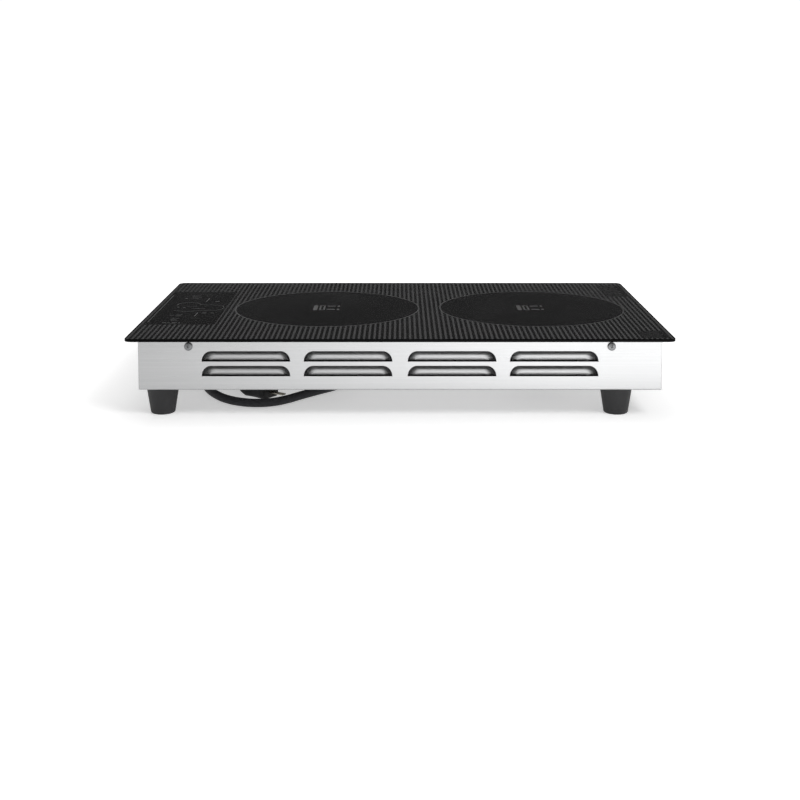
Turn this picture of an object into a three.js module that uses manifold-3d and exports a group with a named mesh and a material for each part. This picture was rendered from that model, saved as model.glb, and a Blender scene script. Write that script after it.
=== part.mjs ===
// Two-zone induction cooktop on four rubber feet.
// Millimetres, +Z up. Origin: on the floor, under the centre of the glass.
// +X runs along the long side, away from the touch controls; -Y is the front.
import * as THREE from 'three';
import { mergeVertices } from 'three/addons/utils/BufferGeometryUtils.js';
import Module from 'manifold-3d';

const wasm = await Module();
wasm.setup();

// ---- driving dimensions ------------------------------------------------------------
const GAP = 0.3; // clearance kept between touching pieces
const GLASS = { width: 590, depth: 355, thick: 3, corner: 8, top: 88 };
const GLASS_BOTTOM = GLASS.top - GLASS.thick;
const FEET = { high: 30, topRadius: 17.7, footRadius: 13.4, xs: [-259.7, 236.5], y: 142.1 };
const FOOT_BORE = { radius: 2.8, wellRadius: 6.5, wellHigh: 10 };
const FOOT_SCREW = { bottom: 5.6, headRadius: 5.2, headTop: 9.7, shankRadius: 2.2, top: 35, hole: 2.6 };
const PAN = { width: 564.3, depth: 329.3, wall: 1, corner: 1.5, bottom: FEET.high, top: GLASS_BOTTOM - GAP };
const PAN_FLOOR = PAN.bottom + PAN.wall;
const LOUVER = { long: 94.8, high: 11, deep: 8, corner: 10, shell: 0.8, rows: [45, 61] };
const LOUVER_FRONT_XS = [-166, -56, 56, 166];
const LOUVER_REAR_XS = [-56, 56, 166];
const SCREW = { headRadius: 4.45, headHigh: 2.6, shankRadius: 1.9, shankLong: 7, play: 0.4, x: 227.6, z: 77.7 };
const FRAME = { inset: PAN.wall + GAP, thick: 1.2, bottom: 73.4, flange: 14 };
const SEAL = { thick: 1.2, wide: 12, inset: 2.65, corner: 2 };
const FRAME_TOP = GLASS_BOTTOM - SEAL.thick - 2 * GAP;
const ZONES = { left: -87.2, right: 157.6 };
const COIL = { inner: 24, outer: 88, thick: 6, bottom: 72.5 };
const CARRIER = { inner: 18, outer: 92, floor: 70, plate: 2.2, rim: 78.8 };
const SHEET = { inner: 7, outer: 90, thick: 0.8 };
const SENSOR = { bottom: 76, stemRadius: 3.5, neck: 80.6, headRadius: 6.5, top: 83.4 };
const FERRITE_BAR = { long: 56, wide: 14, thick: 5, middle: 56, angles: [45, 135, 225, 315] };
const BRACKET = {
  width: 188, depth: 110, sheet: 1.5, drop: 5.6, hole: 24, legs: 93, legWide: 2, feet: 87, footWide: 14, footDeep: 60,
};
const FAN = { size: 80, high: 20, corner: 4, duct: 38, hub: 15, y: -80, bottom: PAN_FLOOR + GAP };
const SPINDLE = { radius: 2, high: 14, bore: 2.35, boreDeep: 11.8 };
const STRUT = { wide: 4, high: 2 };
const HUB = { lift: 2.6, high: 15.6 };
const SLOT = { rows: 3, pitch: 9.4, wide: 4.4, corner: 2.1 };
const BLADE = { count: 7, long: 22.4, wide: 16, thick: 1.6, pitch: 42, rise: 10.8 };
const BOARD = { bottom: 37, thick: 1.6, legRadius: 2.5, legHigh: 6, legInset: 5 };
const BOARD_TOP = BOARD.bottom + BOARD.thick + GAP;
const POWER_BOARD = { width: 130, depth: 104, y: 60 };
const HEAT_SINK = { width: 90, depth: 70, high: 22, base: 4, fin: 2, pitch: 8.8, x: -15, y: 58 };
const CAPACITOR = { width: 22, depth: 40, high: 20, corner: 2, x: 48, y: 58 };
const FILTER = { width: 60, depth: 86, x: -233, y: 84 };
const CHOKE = { inner: 6, outer: 15, bottom: 39, top: 54, y: 66 };
const TERMINALS = { width: 34, depth: 18, high: 14, corner: 1.5, y: 112 };
const TOUCH = {
  width: 60, depth: 205, x: -234, y: 2.5, tray: 72, trayHigh: 6.6, trayFloor: 2, board: 76, guide: 79, guideHigh: 4.6,
};
const CORD = { radius: 4.75, sides: 8, step: 22 };
const COIL_OF_CORD = { x: -180, y: 106, inner: 40, outer: 60, high: 19.4 };
const GLAND = {
  x: -142, z: 46, hole: 8.2, inside: 14, flange: 12, boot: 34, bootRadius: 9.5, tipRadius: 6.6, play: 0.4,
};
const PLUG = { noseX: -147, noseY: -83, heading: -35, wide: 25.4, high: 26, corner: 8, body: 42, tail: 16 };
const PLUG_BLADE = { spacing: 6.35, thick: 1.5, wide: 6.3, long: 19 };
const EARTH_PIN = { radius: 2.4, long: 20.5, offset: 8.2 };
const ROOTED = 1; // how far a contact starts inside the plug
const ARC_STEPS = 28;

// Route of the free cord from the boot to the stored coil, and from the coil to the plug.
const CORD_LEAD = [
  [-142, 200.3, 46], [-142, 214, 45], [-148, 237.5, 39], [-164.5, 254, 28.5], [-187, 260, 17.5],
  [-209.5, 254, 9.5], [-226, 237.5, 5.6], [-232, 215, 4.9], [-232, 190, 4.8], [-232, 165, 4.8],
  [-232, 143.4, 4.8],
];
const CORD_TAIL = [
  [-232, 67.8, 10.5], [-232, 46, 7.4], [-231.5, 22, 5.4], [-231, -10, 4.8], [-228.5, -38, 4.8],
  [-220.5, -65, 4.8], [-206.5, -92, 4.8], [-194, -107.5, 4.8], [-178, -118.8, 4.8], [-160, -123.5, 4.8],
  [-143, -120.3, 4.8], [-129, -110, 4.8], [-112.5, -90.5, 4.8], [-95, -70.5, 4.8], [-78, -52, 4.8],
  [-66, -35.5, 4.8], [-59.5, -14, 4.8], [-63, 8, 4.8], [-77, 25, 4.8], [-100, 33, 4.8],
  [-125, 30.5, 4.8], [-152, 25.2, 4.8], [-177.1, 22.5, 4.8], [-193.2, 18.9, 5.2], [-206.2, 8.9, 6.2],
  [-213.8, -5.7, 7.8], [-214.5, -22.1, 9.6], [-209, -36.2, 11.4], [-198.9, -46.6, 12.7],
  [-194.8, -49.5, 13],
];

// ---- finishes ----------------------------------------------------------------------
const finish = (color, roughness, metalness) => new THREE.MeshStandardMaterial({ color, roughness, metalness });
const BLACK_GLASS = finish(0x2b2c2e, 0.12, 0);
const STAINLESS = finish(0xc9cbcc, 0.32, 1);
const ZINC_STEEL = finish(0xa9abad, 0.45, 1);
const BLACK_RUBBER = finish(0x2a2a2b, 0.75, 0);
const SILICONE = finish(0x1a1a1b, 0.6, 0);
const BLACK_PLASTIC = finish(0x1d1d1f, 0.5, 0);
const WHITE_PLASTIC = finish(0xd8d6cf, 0.5, 0);
const COPPER = finish(0xb46a3c, 0.4, 1);
const FERRITE = finish(0x3a3b3f, 0.7, 0);
const MICA = finish(0xc8bfa4, 0.6, 0);
const BOARD_GREEN = finish(0x1f6b3c, 0.5, 0);
const ALUMINIUM = finish(0xb9bcc0, 0.4, 1);

// ---- helpers -----------------------------------------------------------------------
const cooktop = new THREE.Group();

function addPiece(name, geometry, material, x = 0, y = 0, z = 0) {
  const mesh = new THREE.Mesh(geometry, material);
  mesh.name = name;
  mesh.position.set(x, y, z);
  cooktop.add(mesh);
  return mesh;
}

function toSolid(geometry) {
  const bare = geometry.index ? geometry.toNonIndexed() : geometry.clone();
  bare.deleteAttribute('normal');
  bare.deleteAttribute('uv');
  const merged = mergeVertices(bare, 1e-4);
  const vertProperties = new Float32Array(merged.attributes.position.array);
  const triVerts = new Uint32Array(merged.index.array);
  return new wasm.Manifold(new wasm.Mesh({ numProp: 3, vertProperties, triVerts }));
}

function toGeometry(solid) {
  const mesh = solid.getMesh();
  const geometry = new THREE.BufferGeometry();
  geometry.setAttribute('position', new THREE.BufferAttribute(new Float32Array(mesh.vertProperties), 3));
  geometry.setIndex(new THREE.BufferAttribute(new Uint32Array(mesh.triVerts), 1));
  geometry.computeVertexNormals();
  return geometry;
}

const join = (geometries) => geometries.map(toSolid).reduce((sum, next) => sum.add(next));
const cut = (solid, geometries) => geometries.map(toSolid).reduce((left, next) => left.subtract(next), solid);

function roundedRectangle(width, depth, radius) {
  const shape = new THREE.Shape();
  const x = width / 2 - radius;
  const y = depth / 2 - radius;
  shape.absarc(x, -y, radius, -Math.PI / 2, 0);
  shape.absarc(x, y, radius, 0, Math.PI / 2);
  shape.absarc(-x, y, radius, Math.PI / 2, Math.PI);
  shape.absarc(-x, -y, radius, Math.PI, Math.PI * 1.5);
  shape.closePath();
  return shape;
}

function slab(shape, bottom, high, curveSegments = 3) {
  const geometry = new THREE.ExtrudeGeometry(shape, { depth: high, bevelEnabled: false, curveSegments });
  return geometry.translate(0, 0, bottom);
}

function block(width, depth, high, x, y, bottom) {
  return new THREE.BoxGeometry(width, depth, high).translate(x, y, bottom + high / 2);
}

// A flat ring between two rounded rectangles.
function rectangularRing(width, depth, radius, wide, bottom, high) {
  const outline = roundedRectangle(width, depth, radius);
  outline.holes.push(roundedRectangle(width - 2 * wide, depth - 2 * wide, Math.max(radius - wide, 0.5)));
  return slab(outline, bottom, high);
}

// A solid of revolution about Z. Profile points are [radius, height], listed upward outside.
function turned(profile, steps = ARC_STEPS) {
  const points = profile.map(([radius, height]) => new THREE.Vector2(radius, height));
  return new THREE.LatheGeometry(points, steps).rotateX(Math.PI / 2);
}

function rod(radius, bottom, high, x = 0, y = 0, steps = 20) {
  const geometry = new THREE.CylinderGeometry(radius, radius, high, steps).rotateX(Math.PI / 2);
  return geometry.translate(x, y, bottom + high / 2);
}

// ---- glass, seal and the frame bonded under it --------------------------------------
function addGlass() {
  const plate = slab(roundedRectangle(GLASS.width, GLASS.depth, GLASS.corner), GLASS_BOTTOM, GLASS.thick, 6);
  addPiece('glass_top', plate, BLACK_GLASS);
  const width = PAN.width - 2 * SEAL.inset;
  const depth = PAN.depth - 2 * SEAL.inset;
  const seal = rectangularRing(width, depth, SEAL.corner, SEAL.wide, FRAME_TOP + GAP, SEAL.thick);
  addPiece('glass_seal', seal, SILICONE);
}

function addGlassFrame() {
  const width = PAN.width - 2 * FRAME.inset;
  const depth = PAN.depth - 2 * FRAME.inset;
  const leg = rectangularRing(width, depth, 1, FRAME.thick, FRAME.bottom, FRAME_TOP - FRAME.bottom);
  const flange = rectangularRing(width, depth, 1, FRAME.flange, FRAME_TOP - FRAME.thick, FRAME.thick);
  addPiece('glass_frame', toGeometry(cut(join([leg, flange]), screwHoles())), ZINC_STEEL);
}

// ---- housing pan --------------------------------------------------------------------
// The air scoop behind one louver: a straight lower edge, rounded upper corners, and a
// quarter-ellipse section that is deepest at the bottom. Local frame: wall face at y = 0,
// inside towards +Y, lower edge at z = 0.
function scoop(grow) {
  const half = LOUVER.long / 2 + grow;
  const corner = LOUVER.corner + grow;
  const high = LOUVER.high + grow;
  const deep = LOUVER.deep + grow;
  const face = new THREE.Shape();
  face.moveTo(-half, 0);
  face.lineTo(half, 0);
  face.absellipse(half - corner, 0, corner, high, 0, Math.PI / 2);
  face.absellipse(-half + corner, 0, corner, high, Math.PI / 2, Math.PI);
  const outline = new THREE.ExtrudeGeometry(face, { depth: 2 * deep, bevelEnabled: false, curveSegments: 3 });
  outline.rotateX(Math.PI / 2).translate(0, 1.5 * deep, 0);
  const side = new THREE.Shape();
  side.moveTo(-PAN.wall, 0);
  side.lineTo(deep, 0);
  side.absellipse(0, 0, deep, high, 0, Math.PI / 2);
  side.lineTo(-PAN.wall, high);
  const section = new THREE.ExtrudeGeometry(side, { depth: 2 * half + 2, bevelEnabled: false, curveSegments: 3 });
  section.translate(0, 0, -half - 1);
  section.applyMatrix4(new THREE.Matrix4().makeBasis(
    new THREE.Vector3(0, 1, 0), new THREE.Vector3(0, 0, 1), new THREE.Vector3(1, 0, 0)));
  return toSolid(outline).intersect(toSolid(section));
}

function addLouvers(pan) {
  const wallSlice = toSolid(block(PAN.width, 2 * LOUVER.deep + 8, 200, 0, LOUVER.deep + 4 + PAN.wall / 2, -50));
  const shell = scoop(LOUVER.shell).intersect(wallSlice);
  const hollow = scoop(0);
  let result = pan;
  for (const [xs, turn, y] of [[LOUVER_FRONT_XS, 0, -PAN.depth / 2], [LOUVER_REAR_XS, 180, PAN.depth / 2]]) {
    for (const x of xs) {
      for (const z of LOUVER.rows) {
        const place = (solid) => solid.rotate([0, 0, turn]).translate([x, y, z]);
        result = result.add(place(shell)).subtract(place(hollow));
      }
    }
  }
  return result;
}

function footPlaces() {
  return FEET.xs.flatMap((x) => [-FEET.y, FEET.y].map((y) => [x, y]));
}

function screwHoles() {
  const radius = SCREW.shankRadius + SCREW.play;
  const along = (long) => new THREE.CylinderGeometry(radius, radius, long, 12);
  const frontToBack = [-SCREW.x, SCREW.x].map((x) => along(PAN.depth + 20).translate(x, 0, SCREW.z));
  return [...frontToBack, along(PAN.width + 20).rotateZ(Math.PI / 2).translate(0, 0, SCREW.z)];
}

function intakeSlots(x) {
  const slots = [];
  for (let row = -SLOT.rows; row <= SLOT.rows; row += 1) {
    const long = 2 * Math.sqrt((FAN.duct - 3) ** 2 - (row * SLOT.pitch) ** 2);
    const slot = slab(roundedRectangle(long, SLOT.wide, SLOT.corner), PAN.bottom - 2, 6, 2);
    slots.push(slot.translate(x, FAN.y + row * SLOT.pitch, 0));
  }
  return slots;
}

function addPan() {
  const outer = slab(roundedRectangle(PAN.width, PAN.depth, PAN.corner), PAN.bottom, PAN.top - PAN.bottom);
  const innerWidth = PAN.width - 2 * PAN.wall;
  const innerDepth = PAN.depth - 2 * PAN.wall;
  const inner = slab(roundedRectangle(innerWidth, innerDepth, 0.5), PAN_FLOOR, PAN.top);
  const glandHole = new THREE.CylinderGeometry(GLAND.hole, GLAND.hole, 10, 24);
  glandHole.translate(GLAND.x, PAN.depth / 2, GLAND.z);
  const footHoles = footPlaces().map(([x, y]) => rod(FOOT_SCREW.hole, PAN.bottom - 2, 6, x, y, 12));
  const slots = Object.values(ZONES).flatMap(intakeSlots);
  const pan = cut(toSolid(outer), [inner]);
  const finished = cut(addLouvers(pan), [glandHole, ...footHoles, ...slots, ...screwHoles()]);
  addPiece('housing_pan', toGeometry(finished), STAINLESS);
}

// ---- feet and screws ------------------------------------------------------------------
function addFeet() {
  const top = FEET.high - GAP;
  const { radius, wellRadius, wellHigh } = FOOT_BORE;
  const { bottom, headRadius, headTop, shankRadius } = FOOT_SCREW;
  const profile = [[radius, top], [radius, wellHigh], [wellRadius, wellHigh], [wellRadius, 0],
    [FEET.footRadius - 2.2, 0], [FEET.footRadius - 0.6, 0.8], [FEET.footRadius, 2.4], [FEET.topRadius, top],
    [radius, top]];
  const screwProfile = [[0, bottom], [headRadius - 1, bottom], [headRadius, bottom + 1.4], [headRadius, headTop],
    [shankRadius, headTop], [shankRadius, FOOT_SCREW.top], [0, FOOT_SCREW.top]];
  const corners = ['front_left', 'rear_left', 'front_right', 'rear_right'];
  footPlaces().forEach(([x, y], index) => {
    addPiece(`foot_${corners[index]}`, turned(profile, 20), BLACK_RUBBER, x, y);
    addPiece(`foot_screw_${corners[index]}`, turned(screwProfile, 12), ZINC_STEEL, x, y);
  });
}

function addSideScrews() {
  const { headRadius, headHigh, shankRadius, shankLong } = SCREW;
  const profile = [[0, -shankLong], [shankRadius, -shankLong], [shankRadius, GAP], [headRadius, GAP],
    [headRadius, 1.2], [headRadius * 0.72, headHigh * 0.85], [0, headHigh]];
  const halfDepth = PAN.depth / 2;
  const halfWidth = PAN.width / 2;
  const places = {
    front_left: [-SCREW.x, -halfDepth, 0], front_right: [SCREW.x, -halfDepth, 0],
    rear_left: [-SCREW.x, halfDepth, 180], rear_right: [SCREW.x, halfDepth, 180],
    left_end: [-halfWidth, 0, -90], right_end: [halfWidth, 0, 90],
  };
  for (const [name, [x, y, turn]] of Object.entries(places)) {
    const screw = turned(profile, 14).rotateX(Math.PI / 2).rotateZ(THREE.MathUtils.degToRad(turn));
    addPiece(`case_screw_${name}`, screw, ZINC_STEEL, x, y, SCREW.z);
  }
}

// ---- heating zones ----------------------------------------------------------------------
function carrierProfile() {
  const { inner, outer, floor, plate, rim } = CARRIER;
  return [[inner, floor], [outer, floor], [outer, rim], [outer - 1.8, rim], [outer - 1.8, floor + plate],
    [inner + 3, floor + plate], [inner + 3, rim], [inner, rim], [inner, floor]];
}

function bracketGeometry() {
  const { width, depth, sheet, legWide, footWide, footDeep } = BRACKET;
  const top = CARRIER.floor - BRACKET.drop;
  const bottom = PAN_FLOOR + GAP;
  const plate = block(width, depth, sheet, 0, 0, top - sheet);
  const legs = [-1, 1].map((end) => block(legWide, footDeep, top - 0.5 - bottom, end * BRACKET.legs, 0, bottom));
  const feet = [-1, 1].map((end) => block(footWide, footDeep, sheet, end * BRACKET.feet, 0, bottom));
  return toGeometry(cut(join([plate, ...legs, ...feet]), [rod(BRACKET.hole, top - 4, 8)]));
}

function addZone(side, x) {
  const { inner, outer, thick, bottom } = COIL;
  const winding = [[inner, bottom], [outer, bottom], [outer, bottom + thick], [inner, bottom + thick], [inner, bottom]];
  const sheetLow = CARRIER.rim + GAP;
  const sheetTop = sheetLow + SHEET.thick;
  const sheet = [[SHEET.inner, sheetLow], [SHEET.outer, sheetLow], [SHEET.outer, sheetTop], [SHEET.inner, sheetTop],
    [SHEET.inner, sheetLow]];
  const { stemRadius, headRadius, neck, top } = SENSOR;
  const sensor = [[0, SENSOR.bottom], [stemRadius, SENSOR.bottom], [stemRadius, neck], [headRadius, neck],
    [headRadius, top], [0, top]];
  addPiece(`coil_bracket_${side}`, bracketGeometry(), ALUMINIUM, x);
  addPiece(`coil_carrier_${side}`, turned(carrierProfile()), BLACK_PLASTIC, x);
  addPiece(`coil_winding_${side}`, turned(winding), COPPER, x);
  addPiece(`insulating_disc_${side}`, turned(sheet), MICA, x);
  addPiece(`heat_sensor_${side}`, turned(sensor, 16), WHITE_PLASTIC, x);
  const { long, wide, middle, angles } = FERRITE_BAR;
  angles.forEach((degrees, index) => {
    const bar = block(long, wide, FERRITE_BAR.thick, middle, 0, CARRIER.floor - FERRITE_BAR.thick - GAP);
    addPiece(`ferrite_bar_${side}_${index + 1}`, bar.rotateZ(THREE.MathUtils.degToRad(degrees)), FERRITE, x);
  });
}

// ---- fans -------------------------------------------------------------------------------
function fanFrameGeometry() {
  const shell = cut(toSolid(slab(roundedRectangle(FAN.size, FAN.size, FAN.corner), FAN.bottom, FAN.high)),
    [rod(FAN.duct, FAN.bottom - 2, FAN.high + 4, 0, 0, 32)]);
  const strut = () => block(FAN.size - 2, STRUT.wide, STRUT.high, 0, 0, FAN.bottom);
  const struts = [0, Math.PI / 2].map((turn) => strut().rotateZ(turn));
  const spindle = rod(SPINDLE.radius, FAN.bottom, SPINDLE.high, 0, 0, 16);
  return toGeometry(shell.add(join([...struts, rod(FAN.hub, FAN.bottom, STRUT.high), spindle])));
}

function rotorGeometry() {
  const hubLow = FAN.bottom + HUB.lift;
  const blades = [];
  for (let index = 0; index < BLADE.count; index += 1) {
    const blade = new THREE.BoxGeometry(BLADE.long, BLADE.thick, BLADE.wide);
    blade.rotateX(THREE.MathUtils.degToRad(BLADE.pitch));
    blade.translate(FAN.hub - 1 + BLADE.long / 2, 0, FAN.bottom + BLADE.rise);
    blades.push(blade.rotateZ((2 * Math.PI * index) / BLADE.count));
  }
  const solid = join([rod(FAN.hub, hubLow, HUB.high, 0, 0, 32), ...blades]);
  return toGeometry(cut(solid, [rod(SPINDLE.bore, hubLow - 1, SPINDLE.boreDeep + 1, 0, 0, 16)]));
}

function addFan(side, x) {
  addPiece(`fan_frame_${side}`, fanFrameGeometry(), BLACK_PLASTIC, x, FAN.y);
  addPiece(`fan_rotor_${side}`, rotorGeometry(), BLACK_PLASTIC, x, FAN.y);
}

// ---- electronics --------------------------------------------------------------------------
function boardOnStandoffs(width, depth) {
  const legs = [-1, 1].flatMap((i) => [-1, 1].map((j) => (
    rod(BOARD.legRadius, PAN_FLOOR + GAP, BOARD.legHigh, i * (width / 2 - BOARD.legInset),
      j * (depth / 2 - BOARD.legInset), 12))));
  return toGeometry(join([block(width, depth, BOARD.thick, 0, 0, BOARD.bottom), ...legs]));
}

function heatSinkGeometry() {
  const { width, depth, high, base, fin, pitch } = HEAT_SINK;
  const comb = new THREE.Shape();
  comb.moveTo(-width / 2, 0);
  comb.lineTo(width / 2, 0);
  for (let x = width / 2; x > -width / 2; x -= pitch) {
    comb.lineTo(x, high);
    comb.lineTo(x - fin, high);
    if (x - pitch > -width / 2) {
      comb.lineTo(x - fin, base);
      comb.lineTo(x - pitch, base);
    }
  }
  comb.lineTo(-width / 2, base);
  const geometry = new THREE.ExtrudeGeometry(comb, { depth, bevelEnabled: false });
  return geometry.rotateX(Math.PI / 2).translate(0, depth / 2, BOARD_TOP);
}

function addPowerBoard(side, x) {
  const board = boardOnStandoffs(POWER_BOARD.width, POWER_BOARD.depth);
  addPiece(`power_board_${side}`, board, BOARD_GREEN, x, POWER_BOARD.y);
  addPiece(`heat_sink_${side}`, heatSinkGeometry(), ALUMINIUM, x + HEAT_SINK.x, HEAT_SINK.y);
  const { width, depth, high, corner } = CAPACITOR;
  const capacitor = slab(roundedRectangle(width, depth, corner), BOARD_TOP, high, 2);
  addPiece(`capacitor_${side}`, capacitor, WHITE_PLASTIC, x + CAPACITOR.x, CAPACITOR.y);
}

function addMainsFilter() {
  addPiece('filter_board', boardOnStandoffs(FILTER.width, FILTER.depth), BOARD_GREEN, FILTER.x, FILTER.y);
  const { inner, outer, bottom, top } = CHOKE;
  const choke = [[inner, bottom], [outer, bottom], [outer, top], [inner, top], [inner, bottom]];
  addPiece('filter_choke', turned(choke, 24), COPPER, FILTER.x, CHOKE.y);
  const { width, depth, high, corner } = TERMINALS;
  const terminals = slab(roundedRectangle(width, depth, corner), BOARD_TOP, high, 2);
  addPiece('terminal_block', terminals, WHITE_PLASTIC, FILTER.x, TERMINALS.y);
}

function addTouchUnit() {
  const { width, depth, x, y, tray, trayHigh, trayFloor, guide, guideHigh } = TOUCH;
  const outside = slab(roundedRectangle(width, depth, 3), tray, trayHigh);
  const inside = slab(roundedRectangle(width - 4, depth - 4, 1.5), tray + trayFloor, 9);
  const board = slab(roundedRectangle(width - 5, depth - 5, 1), TOUCH.board, BOARD.thick, 2);
  const lightGuide = slab(roundedRectangle(width - 8, depth - 8, 1), guide, guideHigh, 2);
  addPiece('touch_tray', toGeometry(cut(toSolid(outside), [inside])), BLACK_PLASTIC, x, y);
  addPiece('touch_board', board, BOARD_GREEN, x, y);
  addPiece('touch_light_guide', lightGuide, BLACK_PLASTIC, x, y);
}

// ---- mains cord ------------------------------------------------------------------------------
function addGland() {
  const bore = CORD.radius + GLAND.play;
  const neck = GLAND.hole - GAP;
  const profile = [[bore, -GLAND.inside], [neck, -GLAND.inside], [neck, GAP], [GLAND.flange, GAP], [GLAND.flange, 3],
    [GLAND.bootRadius, 4], [GLAND.tipRadius, GLAND.boot], [bore, GLAND.boot], [bore, -GLAND.inside]];
  const gland = turned(profile, 18).rotateX(-Math.PI / 2);
  addPiece('cord_gland', gland, BLACK_RUBBER, GLAND.x, PAN.depth / 2, GLAND.z);
}

function cordTube(route) {
  const path = new THREE.CatmullRomCurve3(route.map((point) => new THREE.Vector3(...point)), false, 'centripetal');
  const corners = Array.from({ length: CORD.sides }, (unused, index) => {
    const angle = (2 * Math.PI * index) / CORD.sides;
    return new THREE.Vector2(CORD.radius * Math.cos(angle), CORD.radius * Math.sin(angle));
  });
  const steps = Math.round(path.getLength() / CORD.step);
  return new THREE.ExtrudeGeometry(new THREE.Shape(corners), { steps, bevelEnabled: false, extrudePath: path });
}

function addCord() {
  addPiece('cord_lead', cordTube(CORD_LEAD), BLACK_RUBBER);
  addPiece('cord_tail', cordTube(CORD_TAIL), BLACK_RUBBER);
  const { inner, outer, high, x, y } = COIL_OF_CORD;
  const ring = [[inner, 3], [inner + 3, 0], [outer - 3, 0], [outer, 3], [outer, high - 3], [outer - 3, high],
    [inner + 3, high], [inner, high - 3], [inner, 3]];
  addPiece('cord_coil', turned(ring), BLACK_RUBBER, x, y);
}

// The plug lies on its side: blades one above the other, earth pin beside them.
// Local frame: blades point along +X, the cord leaves along -X, the axis is at z = 0.
function addPlug() {
  const body = slab(roundedRectangle(PLUG.high, PLUG.wide, PLUG.corner), -PLUG.body, PLUG.body, 3);
  const tail = turned([[0, -PLUG.tail], [6, -PLUG.tail], [8.6, 1], [0, 1]], 20).translate(0, 0, -PLUG.body);
  const { spacing, thick, wide, long } = PLUG_BLADE;
  const blades = [-spacing, spacing].map((side) => block(thick, wide, long + ROOTED, side, 0, -ROOTED));
  const earth = rod(EARTH_PIN.radius, -ROOTED, EARTH_PIN.long + ROOTED, 0, EARTH_PIN.offset, 14);
  const geometry = toGeometry(join([body, tail, ...blades, earth])).rotateY(Math.PI / 2);
  geometry.rotateZ(THREE.MathUtils.degToRad(PLUG.heading));
  addPiece('plug', geometry, BLACK_PLASTIC, PLUG.noseX, PLUG.noseY, PLUG.high / 2);
}

// ---- assembly ----------------------------------------------------------------------------------
addGlass();
addGlassFrame();
addPan();
addFeet();
addSideScrews();
for (const [side, x] of Object.entries(ZONES)) {
  addZone(side, x);
  addFan(side, x);
  addPowerBoard(side, x);
}
addMainsFilter();
addTouchUnit();
addGland();
addCord();
addPlug();

export default cooktop;
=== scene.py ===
"""Two-zone induction cooktop: the finished look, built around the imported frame.

Every length is in metres, in the frame's own axes: +X runs along the long side away from the
touch controls, -Y is the front and +Z is up, with the origin on the floor under the glass.
"""

import logging
import math
from dataclasses import dataclass, field
from enum import Enum
from typing import Iterable, Sequence

import bmesh
import bpy
from mathutils import Matrix, Vector

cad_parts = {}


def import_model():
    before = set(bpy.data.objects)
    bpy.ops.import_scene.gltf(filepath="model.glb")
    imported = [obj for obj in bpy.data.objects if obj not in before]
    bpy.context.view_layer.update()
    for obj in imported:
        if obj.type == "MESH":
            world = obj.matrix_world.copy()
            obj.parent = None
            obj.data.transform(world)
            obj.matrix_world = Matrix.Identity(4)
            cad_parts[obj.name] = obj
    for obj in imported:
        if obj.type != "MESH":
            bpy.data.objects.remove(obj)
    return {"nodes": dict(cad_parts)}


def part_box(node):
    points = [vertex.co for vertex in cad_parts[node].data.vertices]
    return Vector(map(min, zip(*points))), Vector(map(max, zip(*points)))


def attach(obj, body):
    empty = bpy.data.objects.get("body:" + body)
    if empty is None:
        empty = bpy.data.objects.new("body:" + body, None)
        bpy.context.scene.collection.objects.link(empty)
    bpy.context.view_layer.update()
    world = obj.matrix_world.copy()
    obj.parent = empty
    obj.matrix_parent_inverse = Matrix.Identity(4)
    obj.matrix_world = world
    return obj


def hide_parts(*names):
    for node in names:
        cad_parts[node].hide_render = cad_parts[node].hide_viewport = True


LOG = logging.getLogger("cooktop")
MM = 0.001
FULL_TURN = math.tau
ROOT = "cooktop"


class Side(Enum):
    """The two heating zones, named for where they lie."""

    LEFT = "left"
    RIGHT = "right"


class Facing(Enum):
    """The way a wall of the housing looks, as its turn about Z from the front."""

    FRONT = 0.0
    RIGHT = math.pi / 2
    REAR = math.pi
    LEFT = -math.pi / 2


# ---------------------------------------------------------------------------------------------
# Finishes
# ---------------------------------------------------------------------------------------------


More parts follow.
